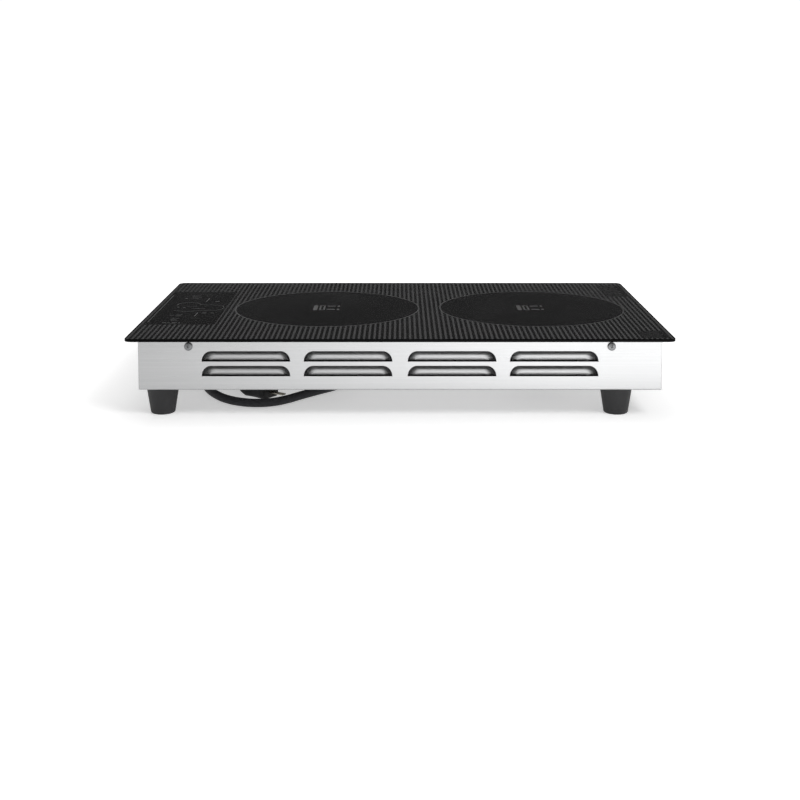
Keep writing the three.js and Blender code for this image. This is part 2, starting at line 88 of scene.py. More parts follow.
class Sketch:
    """A short way to write a material's node tree."""

    def __init__(self, name: str) -> None:
        """Starts an empty material that has one shader.

        Args:
            name: the material's name.
        """
        self.material = bpy.data.materials.new(name)
        self.material.use_nodes = True
        self.tree = self.material.node_tree
        self.shader = self.tree.nodes["Principled BSDF"]
        self.place = self.tree.nodes.new("ShaderNodeTexCoord").outputs["Object"]

    def link(self, value: object, socket: bpy.types.NodeSocket) -> None:
        """Feeds a socket with another node's output, or with a plain value."""
        if isinstance(value, bpy.types.NodeSocket):
            self.tree.links.new(value, socket)
        else:
            socket.default_value = value

    def math(self, operation: str, first: object, second: object = 0.0, clamp: bool = False):
        """Adds one sum.

        Args:
            operation: the math node's operation.
            first: its first value or socket.
            second: its second value or socket.
            clamp: keeps the result from 0 to 1.

        Returns:
            The result's socket.
        """
        node = self.tree.nodes.new("ShaderNodeMath")
        node.operation = operation
        node.use_clamp = clamp
        self.link(first, node.inputs[0])
        self.link(second, node.inputs[1])
        return node.outputs[0]

    def axes(self):
        """Returns the sockets of the place's three coordinates."""
        node = self.tree.nodes.new("ShaderNodeSeparateXYZ")
        self.link(self.place, node.inputs[0])
        return node.outputs[0], node.outputs[1], node.outputs[2]

    def noise(self, scale: Sequence[float], detail: float = 3.0):
        """Adds noise over the piece.

        Args:
            scale: how fast it changes along each axis, per metre.
            detail: how many finer layers it has.

        Returns:
            The socket of its strength, from 0 to 1.
        """
        mapping = self.tree.nodes.new("ShaderNodeMapping")
        mapping.inputs["Scale"].default_value = scale
        self.link(self.place, mapping.inputs["Vector"])
        node = self.tree.nodes.new("ShaderNodeTexNoise")
        node.inputs["Scale"].default_value = 1.0
        node.inputs["Detail"].default_value = detail
        self.link(mapping.outputs[0], node.inputs["Vector"])
        return node.outputs[0]

    def spread(self, value: object, source: tuple[float, float], target: tuple[float, float]):
        """Maps one range of values onto another, held at both ends.

        Args:
            value: the socket to map.
            source: the values that become the target's ends.
            target: the result's ends.

        Returns:
            The result's socket.
        """
        node = self.tree.nodes.new("ShaderNodeMapRange")
        self.link(value, node.inputs["Value"])
        node.inputs["From Min"].default_value, node.inputs["From Max"].default_value = source
        node.inputs["To Min"].default_value, node.inputs["To Max"].default_value = target
        return node.outputs["Result"]

    def blend(self, share: object, first: object, second: object):
        """Mixes two colours.

        Args:
            share: how much of the second there is, from 0 to 1.
            first: a colour or a socket.
            second: a colour or a socket.

        Returns:
            The mixed colour's socket.
        """
        node = self.tree.nodes.new("ShaderNodeMix")
        node.data_type = "RGBA"
        self.link(share, node.inputs["Factor"])
        for value, name in ((first, "A"), (second, "B")):
            socket = next(s for s in node.inputs if s.name == name and s.type == "RGBA")
            self.link((*value, 1.0) if isinstance(value, tuple) else value, socket)
        return next(s for s in node.outputs if s.type == "RGBA")

    def relief(self, height: object, depth: float, strength: float = 1.0) -> None:
        """Raises the surface by a height, depth metres from lowest to highest."""
        node = self.tree.nodes.new("ShaderNodeBump")
        node.inputs["Strength"].default_value = strength
        node.inputs["Distance"].default_value = depth
        self.link(height, node.inputs["Height"])
        self.link(node.outputs[0], self.shader.inputs["Normal"])

    def set(self, **values: object) -> None:
        """Sets the shader's sockets, named in lower case with underscores."""
        for key, value in values.items():
            name = key.replace("_", " ").title().replace("Ior", "IOR")
            if isinstance(value, tuple):
                value = (*value, 1.0)
            self.link(value, self.shader.inputs[name])


@dataclass(frozen=True)
class Finish:
    """A surface with a grain: its colour and roughness wander a little and it has a fine relief."""

    name: str
    slot: str
    dark: tuple[float, float, float]
    light: tuple[float, float, float]
    rough: tuple[float, float]
    metallic: float = 0.0
    grain: tuple[float, float, float] = (900.0, 900.0, 900.0)
    wander: tuple[float, float, float] = (30.0, 30.0, 30.0)
    relief: float = 0.00002
    coat: float = 0.0
    specular: float = 0.5

    def material(self) -> bpy.types.Material:
        """Builds the material, or returns the one built before."""
        known = bpy.data.materials.get(self.name)
        if known:
            return known
        sketch = Sketch(self.name)
        grain = sketch.noise(self.grain, 4.0)
        wander = sketch.noise(self.wander, 2.0)
        shade = sketch.math("ADD", sketch.math("MULTIPLY", grain, 0.45), sketch.math("MULTIPLY", wander, 0.55))
        sketch.set(
            base_color=sketch.blend(sketch.spread(shade, (0.35, 0.65), (0.0, 1.0)), self.dark, self.light),
            roughness=sketch.spread(shade, (0.35, 0.65), self.rough),
            metallic=self.metallic,
            coat_weight=self.coat,
            specular_ior_level=self.specular,
        )
        sketch.relief(grain, self.relief)
        return sketch.material


RUBBER = Finish("matt_rubber", "black_rubber", (0.016, 0.016, 0.017), (0.03, 0.03, 0.031), (0.52, 0.68), specular=0.35)
JACKET = Finish("cord_jacket", "cord_jacket", (0.016, 0.016, 0.017), (0.03, 0.03, 0.031), (0.38, 0.5),
                grain=(1400.0, 1400.0, 1400.0), relief=0.00001)
PLASTIC = Finish("moulded_plastic", "black_plastic", (0.008, 0.008, 0.0085), (0.014, 0.014, 0.0146), (0.45, 0.6),
                 grain=(2200.0, 2200.0, 2200.0), relief=0.00003, specular=0.3)
PALE_PLASTIC = Finish("pale_plastic", "white_plastic", (0.6, 0.58, 0.53), (0.72, 0.7, 0.65), (0.4, 0.55))
SILICONE = Finish("black_silicone", "silicone", (0.012, 0.012, 0.013), (0.02, 0.02, 0.021), (0.5, 0.65))
PLATED = Finish("zinc_plated_steel", "plated_steel", (0.13, 0.132, 0.135), (0.2, 0.203, 0.207), (0.3, 0.42), metallic=1.0,
                grain=(1500.0, 1500.0, 1500.0), relief=0.000004)
BLADE_METAL = Finish("nickel_brass", "plated_steel", (0.46, 0.43, 0.37), (0.58, 0.55, 0.48), (0.24, 0.36),
                     metallic=1.0, grain=(400.0, 400.0, 2600.0), relief=0.000004)
ALUMINIUM = Finish("mill_aluminium", "aluminium", (0.6, 0.61, 0.62), (0.76, 0.77, 0.78), (0.32, 0.46), metallic=1.0,
                   grain=(60.0, 1200.0, 1200.0), relief=0.000006)
COPPER = Finish("enamelled_copper", "copper", (0.5, 0.2, 0.09), (0.72, 0.36, 0.18), (0.25, 0.4), metallic=1.0,
                grain=(2500.0, 2500.0, 2500.0))
FERRITE = Finish("sintered_ferrite", "ferrite", (0.03, 0.031, 0.034), (0.06, 0.061, 0.066), (0.6, 0.8))
MICA = Finish("pressed_mica", "mica", (0.42, 0.37, 0.27), (0.66, 0.6, 0.47), (0.4, 0.65),
              grain=(260.0, 260.0, 260.0))
BARE_EDGE = Finish("bare_steel_inside", "stainless", (0.5, 0.5, 0.51), (0.62, 0.62, 0.63), (0.35, 0.5), metallic=1.0)


@dataclass(frozen=True)
class BrushedSteel:
    """Stainless sheet, brushed level: fine streaks that run round the walls."""

    name: str = "brushed_stainless"
    slot: str = "stainless"
    colour: tuple[float, float, float] = (0.37, 0.372, 0.375)
    bright: tuple[float, float, float] = (0.43, 0.432, 0.435)
    rough: tuple[float, float] = (0.27, 0.38)
    streak: tuple[float, float, float] = (7.0, 7.0, 2600.0)
    coarse: tuple[float, float, float] = (2.5, 2.5, 420.0)

    def material(self) -> bpy.types.Material:
        """Builds the material, or returns the one built before."""
        known = bpy.data.materials.get(self.name)
        if known:
            return known
        sketch = Sketch(self.name)
        fine = sketch.noise(self.streak, 5.0)
        coarse = sketch.noise(self.coarse, 2.0)
        streaks = sketch.math("ADD", sketch.math("MULTIPLY", fine, 0.6), sketch.math("MULTIPLY", coarse, 0.4))
        sketch.set(
            base_color=sketch.blend(sketch.spread(streaks, (0.36, 0.64), (0.0, 1.0)), self.colour, self.bright),
            roughness=sketch.spread(streaks, (0.36, 0.64), self.rough),
            metallic=1.0,
        )
        sketch.relief(fine, 0.000004, 0.6)
        return sketch.material


@dataclass(frozen=True)
class PrintedGlass:
    """Black glass ceramic under a printed screen of fine stripes.

    The stripes run front to back and leave out the heating zones, some plain patches and a border.
    """

    zones: tuple[float, float]
    zone_radius: float
    patches: tuple[tuple[tuple[float, float], tuple[float, float]], ...]
    half_size: tuple[float, float]
    name: str = "printed_glass"
    slot: str = "black_glass"
    pitch: float = 5.5 * MM
    border: float = 2.4 * MM
    soft: float = 0.35 * MM
    plain: tuple[float, float, float] = (0.0115, 0.0115, 0.0118)
    between: tuple[float, float, float] = (0.009, 0.009, 0.0092)
    stripe: tuple[float, float, float] = (0.105, 0.105, 0.106)
    edge: tuple[float, float, float] = (0.0008, 0.0008, 0.0009)
    gloss: tuple[float, float] = (0.03, 0.3)

    def _outside(self, sketch: Sketch, distance: object) -> object:
        """Returns a mask that is 1 where a distance is over zero and 0 where it is under."""
        return sketch.spread(distance, (-self.soft / 2, self.soft / 2), (0.0, 1.0))

    def _box(self, sketch: Sketch, along: object, low: float, high: float) -> object:
        """Returns how far a coordinate is outside a stretch, negative inside it."""
        middle = sketch.math("SUBTRACT", along, (low + high) / 2)
        return sketch.math("SUBTRACT", sketch.math("ABSOLUTE", middle), (high - low) / 2)

    def material(self) -> bpy.types.Material:
        """Builds the material, or returns the one built before."""
        known = bpy.data.materials.get(self.name)
        if known:
            return known
        sketch = Sketch(self.name)
        x, y, z = sketch.axes()
        wave = sketch.math("COSINE", sketch.math("MULTIPLY", x, FULL_TURN / self.pitch))
        ragged = sketch.math("SUBTRACT", sketch.noise((120.0, 160.0, 1.0), 1.0), 0.5)
        edged = sketch.math("ADD", wave, sketch.math("MULTIPLY", ragged, 0.3))
        stripes = sketch.spread(edged, (-0.15, 0.6), (0.0, 1.0))
        screen = 1.0
        for centre in self.zones:
            across = sketch.math("SUBTRACT", x, centre)
            square = sketch.math("ADD", sketch.math("POWER", across, 2.0), sketch.math("POWER", y, 2.0))
            away = sketch.math("SUBTRACT", sketch.math("SQRT", square), self.zone_radius)
            screen = sketch.math("MULTIPLY", screen, self._outside(sketch, away))
        for low, high in self.patches:
            beside = self._box(sketch, x, low[0], high[0])
            behind = self._box(sketch, y, low[1], high[1])
            away = sketch.math("MAXIMUM", beside, behind)
            screen = sketch.math("MULTIPLY", screen, self._outside(sketch, away))
        for along, half in zip((x, y), self.half_size):
            inside = sketch.math("SUBTRACT", half - self.border, sketch.math("ABSOLUTE", along))
            screen = sketch.math("MULTIPLY", screen, self._outside(sketch, inside))
        printed = sketch.blend(stripes, self.between, self.stripe)
        rim = 1.0
        for along, half in zip((x, y), self.half_size):
            inside = sketch.math("SUBTRACT", half - self.border, sketch.math("ABSOLUTE", along))
            rim = sketch.math("MULTIPLY", rim, self._outside(sketch, inside))
        ground = sketch.blend(rim, self.edge, self.plain)
        smears = sketch.noise((14.0, 9.0, 1.0), 3.0)
        sketch.set(
            base_color=sketch.blend(screen, ground, printed),
            roughness=sketch.spread(smears, (0.3, 0.7), (0.1, 0.13)),
            specular_ior_level=sketch.spread(rim, (0.0, 1.0), self.gloss),
        )
        return sketch.material


@dataclass(frozen=True)
class Ink:
    """Pale grey ceramic ink fired onto the glass."""

    name: str = "pale_ink"
    slot: str = "black_glass"
    level: float = 0.1

    def material(self) -> bpy.types.Material:
        """Builds the material, or returns the one built before."""
        known = bpy.data.materials.get(self.name)
        if known:
            return known
        sketch = Sketch(self.name)
        speckle = sketch.noise((3000.0, 3000.0, 3000.0), 2.0)
        low, high = (self.level * 0.8,) * 3, (self.level * 1.2,) * 3
        sketch.set(
            base_color=sketch.blend(sketch.spread(speckle, (0.3, 0.7), (0.0, 1.0)), low, high),
            roughness=sketch.spread(speckle, (0.3, 0.7), (0.3, 0.45)),
            specular_ior_level=0.3,
        )
        return sketch.material


@dataclass(frozen=True)
class CircuitBoard:
    """Green solder mask with the copper tracks showing through it."""

    name: str = "circuit_board"
    slot: str = "board"
    mask: tuple[float, float, float] = (0.012, 0.1, 0.035)
    track: tuple[float, float, float] = (0.03, 0.2, 0.07)
    lane: float = 2.6 * MM

    def material(self) -> bpy.types.Material:
        """Builds the material, or returns the one built before."""
        known = bpy.data.materials.get(self.name)
        if known:
            return known
        sketch = Sketch(self.name)
        x, y, z = sketch.axes()
        patch = sketch.noise((45.0, 45.0, 1.0), 0.0)
        lane = sketch.math("MULTIPLY", FULL_TURN / self.lane, sketch.blend(sketch.spread(patch, (0.49, 0.51), (0, 1)), x, y))
        tracks = sketch.spread(sketch.math("SINE", lane), (0.3, 0.4), (0.0, 1.0))
        sketch.set(
            base_color=sketch.blend(tracks, self.mask, self.track),
            roughness=sketch.spread(patch, (0.0, 1.0), (0.25, 0.4)),
        )
        sketch.relief(tracks, 0.00003, 0.5)
        return sketch.material


STEEL = BrushedSteel()
BOARD = CircuitBoard()


# ---------------------------------------------------------------------------------------------
# Mesh tools
# ---------------------------------------------------------------------------------------------


def at(x: float, y: float, z: float) -> Matrix:
    """Returns the matrix that moves a shape to a point."""
    return Matrix.Translation((x, y, z))


def turn(angle: float, axis: str = "Z") -> Matrix:
    """Returns the matrix that turns a shape about an axis through the origin."""
    return Matrix.Rotation(angle, 4, axis)


def absorb(whole: bmesh.types.BMesh, part: bmesh.types.BMesh, place: Matrix = Matrix()) -> None:
    """Moves a shape to its place and adds it to another, which keeps it.

    Args:
        whole: the shape that grows.
        part: the shape that is used up.
        place: where the part goes.
    """
    bmesh.ops.transform(part, matrix=place, verts=part.verts)
    scratch = bpy.data.meshes.new("scratch")
    part.to_mesh(scratch)
    part.free()
    whole.from_mesh(scratch)
    bpy.data.meshes.remove(scratch)


def bevelled(shape: bmesh.types.BMesh, edges: Iterable[bmesh.types.BMEdge], offset: float, segments: int) -> None:
    """Rounds the given edges.

    Args:
        shape: the mesh.
        edges: the edges to round.
        offset: the radius.
        segments: the facets across the round.
    """
    bmesh.ops.bevel(shape, geom=list(edges), offset=offset, offset_type="OFFSET", segments=segments,
                    profile=0.5, affect="EDGES", material=-1, clamp_overlap=True)


def upright(shape: bmesh.types.BMesh) -> list[bmesh.types.BMEdge]:
    """Returns the edges that stand along Z."""
    edges = []
    for edge in shape.edges:
        run = edge.verts[1].co - edge.verts[0].co
        if abs(run.z) > 0.99 * run.length:
            edges.append(edge)
    return edges


def sharp(shape: bmesh.types.BMesh, least: float = 0.6) -> list[bmesh.types.BMEdge]:
    """Returns the edges whose faces meet at more than an angle, in radians."""
    return [e for e in shape.edges if len(e.link_faces) == 2 and e.calc_face_angle(0.0) > least]


def block(width: float, depth: float, high: float, edge: float = 0.0, segments: int = 2) -> bmesh.types.BMesh:
    """Makes a box that stands on Z = 0, centred in X and Y.

    Args:
        width: its size along X.
        depth: its size along Y.
        high: its size along Z.
        edge: the radius of all its edges.
        segments: the facets across each round.

    Returns:
        The new shape.
    """
    shape = bmesh.new()
    bmesh.ops.create_cube(shape, size=1.0, matrix=at(0, 0, high / 2) @ Matrix.Diagonal((width, depth, high, 1)))
    if edge:
        bevelled(shape, shape.edges[:], edge, segments)
    return shape


def plate(width: float, depth: float, high: float, corner: float, edge: float, segments: int = 8) -> bmesh.types.BMesh:
    """Makes a flat plate with round corners and softened rims.

    Args:
        width: its size along X.
        depth: its size along Y.
        high: its thickness.
        corner: the radius of its corners.
        edge: the radius of its upper and lower rims.
        segments: the facets across a corner.

    Returns:
        The new shape.
    """
    shape = block(width, depth, high)
    bevelled(shape, upright(shape), corner, segments)
    if edge:
        bevelled(shape, sharp(shape, 1.2), edge, 3)
    return shape


def turned(profile: Sequence[tuple[float, float]], steps: int = 48) -> bmesh.types.BMesh:
    """Spins a closed profile about Z.

    Args:
        profile: radius and height of each corner, starting and ending on the axis or closed.
        steps: the facets round the axis.

    Returns:
        The new shape.
    """
    shape = bmesh.new()
    verts = [shape.verts.new((radius, 0.0, height)) for radius, height in profile]
    edges = [shape.edges.new(pair) for pair in zip(verts, verts[1:])]
    bmesh.ops.spin(shape, geom=verts + edges, axis=(0, 0, 1), cent=(0, 0, 0), angle=FULL_TURN,
                   steps=steps, use_merge=True)
    bmesh.ops.remove_doubles(shape, verts=shape.verts, dist=1e-6)
    bmesh.ops.recalc_face_normals(shape, faces=shape.faces)
    return shape


def arc(centre: tuple[float, float], radius: float, start: float, end: float, steps: int) -> list[tuple[float, float]]:
    """Returns points along an arc in a profile, its angles in degrees from the outward axis."""
    points = []
    for step in range(steps + 1):
        angle = math.radians(start + (end - start) * step / steps)
        points.append((centre[0] + radius * math.cos(angle), centre[1] + radius * math.sin(angle)))
    return points


def ring(radius: float, wide: float, high: float, steps: int = 160) -> bmesh.types.BMesh:
    """Makes a flat ring standing on Z = 0, given its outer radius, width and thickness."""
    inner = radius - wide
    return turned([(inner, 0), (radius, 0), (radius, high), (inner, high), (inner, 0)], steps)


def finished(name: str, shape: bmesh.types.BMesh, look: object, body: str = ROOT,
             stands_for: Sequence[str] = (), smooth: float = 32.0) -> bpy.types.Object:
    """Turns a shape into a piece of the cooktop.

    Args:
        name: the piece's name.
        shape: its mesh, which is used up.
        look: its finish.
        body: the body that it moves with.
        stands_for: the plain nodes that it replaces.
        smooth: the angle in degrees under which neighbouring faces are shaded as one.

    Returns:
        The new object.
    """
    mesh = bpy.data.meshes.new(name)
    shape.to_mesh(mesh)
    shape.free()
    return adopted(name, mesh, look, body, stands_for, smooth)


def _harden(piece: bpy.types.Object) -> None:
    """Shades a piece's large flats as flat, so that only its rounds look round."""
    modifier = piece.modifiers.new("flats", "WEIGHTED_NORMAL")
    modifier.keep_sharp = True
    graph = bpy.context.evaluated_depsgraph_get()
    mesh = bpy.data.meshes.new_from_object(piece.evaluated_get(graph))
    piece.modifiers.clear()
    plain, piece.data = piece.data, mesh
    bpy.data.meshes.remove(plain)
    mesh.name = piece.name


def adopted(name: str, mesh: bpy.types.Mesh, look: object, body: str = ROOT,
            stands_for: Sequence[str] = (), smooth: float = 32.0) -> bpy.types.Object:
    """Gives a finished mesh its object, material and body, as finished() does."""
    mesh.materials.clear()
    mesh.materials.append(look.material())
    mesh.shade_smooth()
    mesh.set_sharp_from_angle(angle=math.radians(smooth))
    piece = bpy.data.objects.new(name, mesh)
    bpy.context.scene.collection.objects.link(piece)
    _harden(piece)
    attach(piece, body)
    if stands_for:
        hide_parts(*stands_for)
    LOG.info("made %s: %d faces", name, len(piece.data.polygons))
    return piece


def carved(shape: bmesh.types.BMesh, cutter: bmesh.types.BMesh) -> bmesh.types.BMesh:
    """Cuts one shape out of another, with both used up.

    Args:
        shape: what is cut.
        cutter: what is taken away.

    Returns:
        What is left.
    """
    objects = []
    for source in (shape, cutter):
        mesh = bpy.data.meshes.new("carving")
        source.to_mesh(mesh)
        source.free()
        item = bpy.data.objects.new("carving", mesh)
        bpy.context.scene.collection.objects.link(item)
        objects.append(item)
    modifier = objects[0].modifiers.new("cut", "BOOLEAN")
    modifier.operation = "DIFFERENCE"
    modifier.solver = "EXACT"
    modifier.object = objects[1]
    graph = bpy.context.evaluated_depsgraph_get()
    result = bmesh.new()
    result.from_mesh(objects[0].evaluated_get(graph).to_mesh())
    for item in objects:
        mesh = item.data
        bpy.data.objects.remove(item)
        bpy.data.meshes.remove(mesh)
    return result


def middle(node: str) -> Vector:
    """Returns the centre of a node's box."""
    low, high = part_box(node)
    return (Vector(low) + Vector(high)) / 2


def redress(node: str, look: object, nodes: dict[str, bpy.types.Object]) -> None:
    """Gives a plain node its finish.

    Args:
        node: the node's name.
        look: its finish.
        nodes: the frame's nodes.
    """
    mesh = nodes[node].data
    mesh.materials.clear()
    mesh.materials.append(look.material())
    LOG.info("dressed %s", node)


# ---------------------------------------------------------------------------------------------
# Studio
# ---------------------------------------------------------------------------------------------


@dataclass
class Camera:
    """A view from the front, a little above the glass, that keeps upright edges nearly upright."""

    place: tuple[float, float, float] = (0.0, -1.5176, 0.3791)
    pitch: float = math.radians(4.2456)
    lens: float = 57.396
    sensor: float = 36.0
    shift: float = 0.3

    def build(self) -> None:
        """Makes the camera and sets it as the scene's own."""
        data = bpy.data.cameras.new("camera")
        data.sensor_width = self.sensor
        data.lens = self.lens
        data.shift_y = -self.shift
        data.clip_end = 60.0
        camera = bpy.data.objects.new("camera", data)
        bpy.context.scene.collection.objects.link(camera)
        camera.location = self.place
        camera.rotation_euler = (math.pi / 2 - self.pitch, 0.0, 0.0)
        bpy.context.scene.camera = camera


@dataclass
class Studio:
    """A white floor that glows as painted light, and soft light, brighter from the right."""

    floor_radius: float = 9.0
    floor_white: float = 0.8
    unit_half: tuple[float, float] = (0.26, 0.15)
    glow_under: float = 0.45
    glow_near: float = 0.35
    glow_far: float = 0.45
    glow_right: float = 1.5
    sky_low: float = 1.05
    sky_high: float = 0.025
    lights: dict[str, tuple[tuple[float, float, float], tuple[float, float], float]] = field(
        default_factory=lambda: {
            "top_softbox": ((0.0, -0.3, 2.4), (4.5, 4.5), 36.0),
            "right_softbox": ((1.5, -1.6, 2.1), (1.2, 1.2), 36.0),
            "rear_softbox": ((-0.6, 2.2, 2.2), (1.6, 0.9), 14.0),
        }
    )

    def _painted_glow(self, sketch: Sketch) -> bpy.types.NodeSocket:
        """Returns how much the floor glows, as painted light: least under the unit, which is a painted shadow, and more
        beside it and far away.

        In front of the unit it glows more towards the right, a painted light that the steel mirrors as a gradient.

        Args:
            sketch: the floor's material.
        """
        x, y, _ = sketch.axes()
        parts = []
        for along, half in zip((x, y), self.unit_half):
            outside = sketch.math("MAXIMUM", sketch.math("SUBTRACT", sketch.math("ABSOLUTE", along), half), 0.0)
            parts.append(sketch.math("POWER", outside, 2.0))
        away = sketch.math("SQRT", sketch.math("ADD", *parts))
        # Painted shadow: the glow is least under the unit and rises over 0.2 m beside it.
        near = sketch.spread(away, (0.0, 0.2), (self.glow_under, self.glow_under + self.glow_near))
        far = sketch.spread(away, (0.5, 1.8), (0.0, self.glow_far))
        # Painted light: the glow is brighter on the right in front of the unit, for the steel to mirror.
        right = sketch.spread(x, (-0.34, 0.2), (0.0, self.glow_right))
        ahead = sketch.spread(y, (-0.32, -0.2), (1.0, 0.0))
        return sketch.math("ADD", sketch.math("ADD", near, far), sketch.math("MULTIPLY", right, ahead))

    def _floor(self) -> None:
        """Makes the floor, which glows faintly as painted light so that the shade on it stays light."""
        shape = bmesh.new()
        bmesh.ops.create_circle(shape, cap_ends=True, radius=self.floor_radius, segments=96)
        mesh = bpy.data.meshes.new("floor")
        shape.to_mesh(mesh)
        shape.free()
        sketch = Sketch("white_floor")
        # The floor's emission is painted light, though the floor is no lamp.
        sketch.set(base_color=(self.floor_white,) * 3, roughness=0.9, specular_ior_level=0.0,
                   emission_color=(1.0, 1.0, 1.0), emission_strength=self._painted_glow(sketch))
        mesh.materials.append(sketch.material)
        floor = bpy.data.objects.new("floor", mesh)
        bpy.context.scene.collection.objects.link(floor)

    def _sky(self) -> None:
        """Makes the surroundings: white at the horizon and dim above it."""
        world = bpy.data.worlds.new("studio")
        world.use_nodes = True
        nodes, links = world.node_tree.nodes, world.node_tree.links
        place = nodes.new("ShaderNodeTexCoord")
        split = nodes.new("ShaderNodeSeparateXYZ")
        height = nodes.new("ShaderNodeMapRange")
        links.new(place.outputs["Generated"], split.inputs[0])
        links.new(split.outputs[2], height.inputs["Value"])
        height.inputs["From Min"].default_value = math.sin(math.radians(4.2))
        height.inputs["From Max"].default_value = math.sin(math.radians(6.4))
        height.inputs["To Min"].default_value = self.sky_low
        height.inputs["To Max"].default_value = self.sky_high
        links.new(height.outputs["Result"], nodes["Background"].inputs["Strength"])
        nodes["Background"].inputs["Color"].default_value = (1.0, 1.0, 1.0, 1.0)
        bpy.context.scene.world = world

    def build(self) -> None:
        """Makes the floor, the surroundings and the lights."""
        bpy.context.scene.view_settings.view_transform = "Standard"
        self._floor()
        self._sky()
        for name, (place, size, power) in self.lights.items():
            data = bpy.data.lights.new(name, "AREA")
            data.shape = "RECTANGLE"
            data.size, data.size_y = size
            data.energy = power
            light = bpy.data.objects.new(name, data)
            light.location = place
            light.rotation_euler = (Vector((0, 0, 0.05)) - Vector(place)).to_track_quat("-Z", "Y").to_euler()
            bpy.context.scene.collection.objects.link(light)


# ---------------------------------------------------------------------------------------------
# Mains cord
# ---------------------------------------------------------------------------------------------


@dataclass
class MainsCord:
    """The free cord from the rear gland to its plug, with the spare turns stored under the rear."""

    radius: float = 4.75 * MM
    length: float = 1.88
    coil_turns: int = 3
    coil_steps: int = 20
    coil_radii: tuple[float, float] = (45.2 * MM, 54.7 * MM)
    lead: tuple = (
        (-0.142, 0.2003, 0.046), (-0.142, 0.214, 0.045), (-0.148, 0.2375, 0.039), (-0.1645, 0.254, 0.0285),
        (-0.187, 0.260, 0.0175), (-0.2095, 0.254, 0.0095), (-0.226, 0.2375, 0.0056), (-0.232, 0.215, 0.0049),
        (-0.232, 0.190, 0.0048), (-0.2325, 0.165, 0.0048), (-0.234, 0.1434, 0.0048),
    )
    tail: tuple = (
        (-0.232, 0.0678, 0.0105), (-0.232, 0.046, 0.0074), (-0.2315, 0.022, 0.0054),
        (-0.231, -0.01, 0.0048), (-0.2285, -0.038, 0.0048), (-0.2205, -0.065, 0.0048),
        (-0.2065, -0.092, 0.0048), (-0.194, -0.1075, 0.0048), (-0.178, -0.1188, 0.0048),
        (-0.16, -0.1235, 0.0048), (-0.143, -0.1203, 0.0048), (-0.129, -0.11, 0.0048),
        (-0.1125, -0.0905, 0.0048), (-0.095, -0.0705, 0.0048), (-0.078, -0.052, 0.0048),
        (-0.066, -0.0355, 0.0048), (-0.0595, -0.014, 0.0048), (-0.063, 0.008, 0.0048),
        (-0.077, 0.025, 0.0048), (-0.1, 0.033, 0.0048), (-0.125, 0.0305, 0.0048), (-0.152, 0.0252, 0.0048),
        (-0.1771, 0.0225, 0.0048), (-0.1932, 0.0189, 0.0052), (-0.2062, 0.0089, 0.0062),
        (-0.2138, -0.0057, 0.0078), (-0.2145, -0.0221, 0.0096), (-0.209, -0.0362, 0.0114),
        (-0.1989, -0.0466, 0.0127), (-0.1948, -0.0495, 0.013),
    )

    def _coil(self) -> list[tuple[float, float, float]]:
        """Returns the stored turns: two winding inwards on the floor and one outwards on top."""
        centre = middle("cord_coil")
        inner, outer = self.coil_radii
        low, high = self.radius + 0.05 * MM, 3 * self.radius - 1.2 * MM
        total = self.coil_turns * self.coil_steps
        points = []
        for step in range(1, total):
            turns = step / self.coil_steps
            angle = math.pi + FULL_TURN * turns
            inward = min(turns / 2, 1.0)
            outward = max(turns - 2, 0.0)
            radius = outer + (inner - outer) * inward + (outer - inner) * outward
            climb = min(max((turns - 1.75) / 0.35, 0.0), 1.0)
            lift = low + (high - low) * climb * climb * (3 - 2 * climb)
            points.append((centre.x + radius * math.cos(angle), centre.y + radius * math.sin(angle), lift))
        return points

    def build(self, companions: Sequence[bpy.types.Object]) -> None:
        """Args:
            companions: the gland and the pieces of the plug; not used.
        """
        route = [*self.lead, *self._coil(), *self.tail]
        data = bpy.data.curves.new("mains_cord", "CURVE")
        data.dimensions = "3D"
        data.resolution_u = 6
        data.bevel_depth = self.radius
        data.bevel_resolution = 5
        data.use_fill_caps = True
        data.materials.append(JACKET.material())
        spline = data.splines.new("BEZIER")
        spline.bezier_points.add(len(route) - 1)
        for point, place in zip(spline.bezier_points, route):
            point.co = place
            point.handle_left_type = point.handle_right_type = "AUTO"
        cord = bpy.data.objects.new("mains_cord", data)
        bpy.context.scene.collection.objects.link(cord)
        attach(cord, ROOT)
        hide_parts("cord_lead", "cord_coil", "cord_tail")
        LOG.info("made mains_cord: %d route points", len(route))


@dataclass
class Gland:
    """The tapered rubber strain relief in the rear wall."""

    bore: float = 4.85 * MM
    neck: float = 7.9 * MM
    flange: float = 12.0 * MM
    ribs: int = 6

    def _profile(self, length: float) -> list[tuple[float, float]]:
        """Returns the boot's section, with ribs that get smaller towards its tip."""
        points = [(self.bore, -14 * MM), (self.neck, -14 * MM), (self.neck, 0.1 * MM), (self.flange, 0.1 * MM),
                  *arc((self.flange - 1.2 * MM, 1.9 * MM), 1.2 * MM, 0, 90, 4)]
        start = 4.0 * MM
        pitch = (length - start - 2 * MM) / self.ribs
        for rib in range(self.ribs):
            foot = start + rib * pitch
            radius = 9.5 * MM + (6.4 * MM - 9.5 * MM) * rib / (self.ribs - 1)
            points += [(radius - 1.1 * MM, foot), (radius - 0.2 * MM, foot + 0.12 * pitch), (radius, foot + 0.24 * pitch),
                       (radius, foot + 0.58 * pitch), (radius - 0.2 * MM, foot + 0.7 * pitch),
                       (radius - 1.1 * MM, foot + 0.82 * pitch)]
        return [*points, (5.6 * MM, length - 1.6 * MM), (5.4 * MM, length), (self.bore, length), (self.bore, -14 * MM)]

    def build(self) -> bpy.types.Object:
        """Makes the gland and returns it."""
        low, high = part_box("cord_gland")
        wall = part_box("housing_pan")[1][1]
        shape = bmesh.new()
        centre = middle("cord_gland")
        absorb(shape, turned(self._profile(high[1] - wall), 56), at(centre.x, wall, centre.z) @ turn(-math.pi / 2, "X"))
        return finished("strain_relief", shape, RUBBER, stands_for=["cord_gland"])


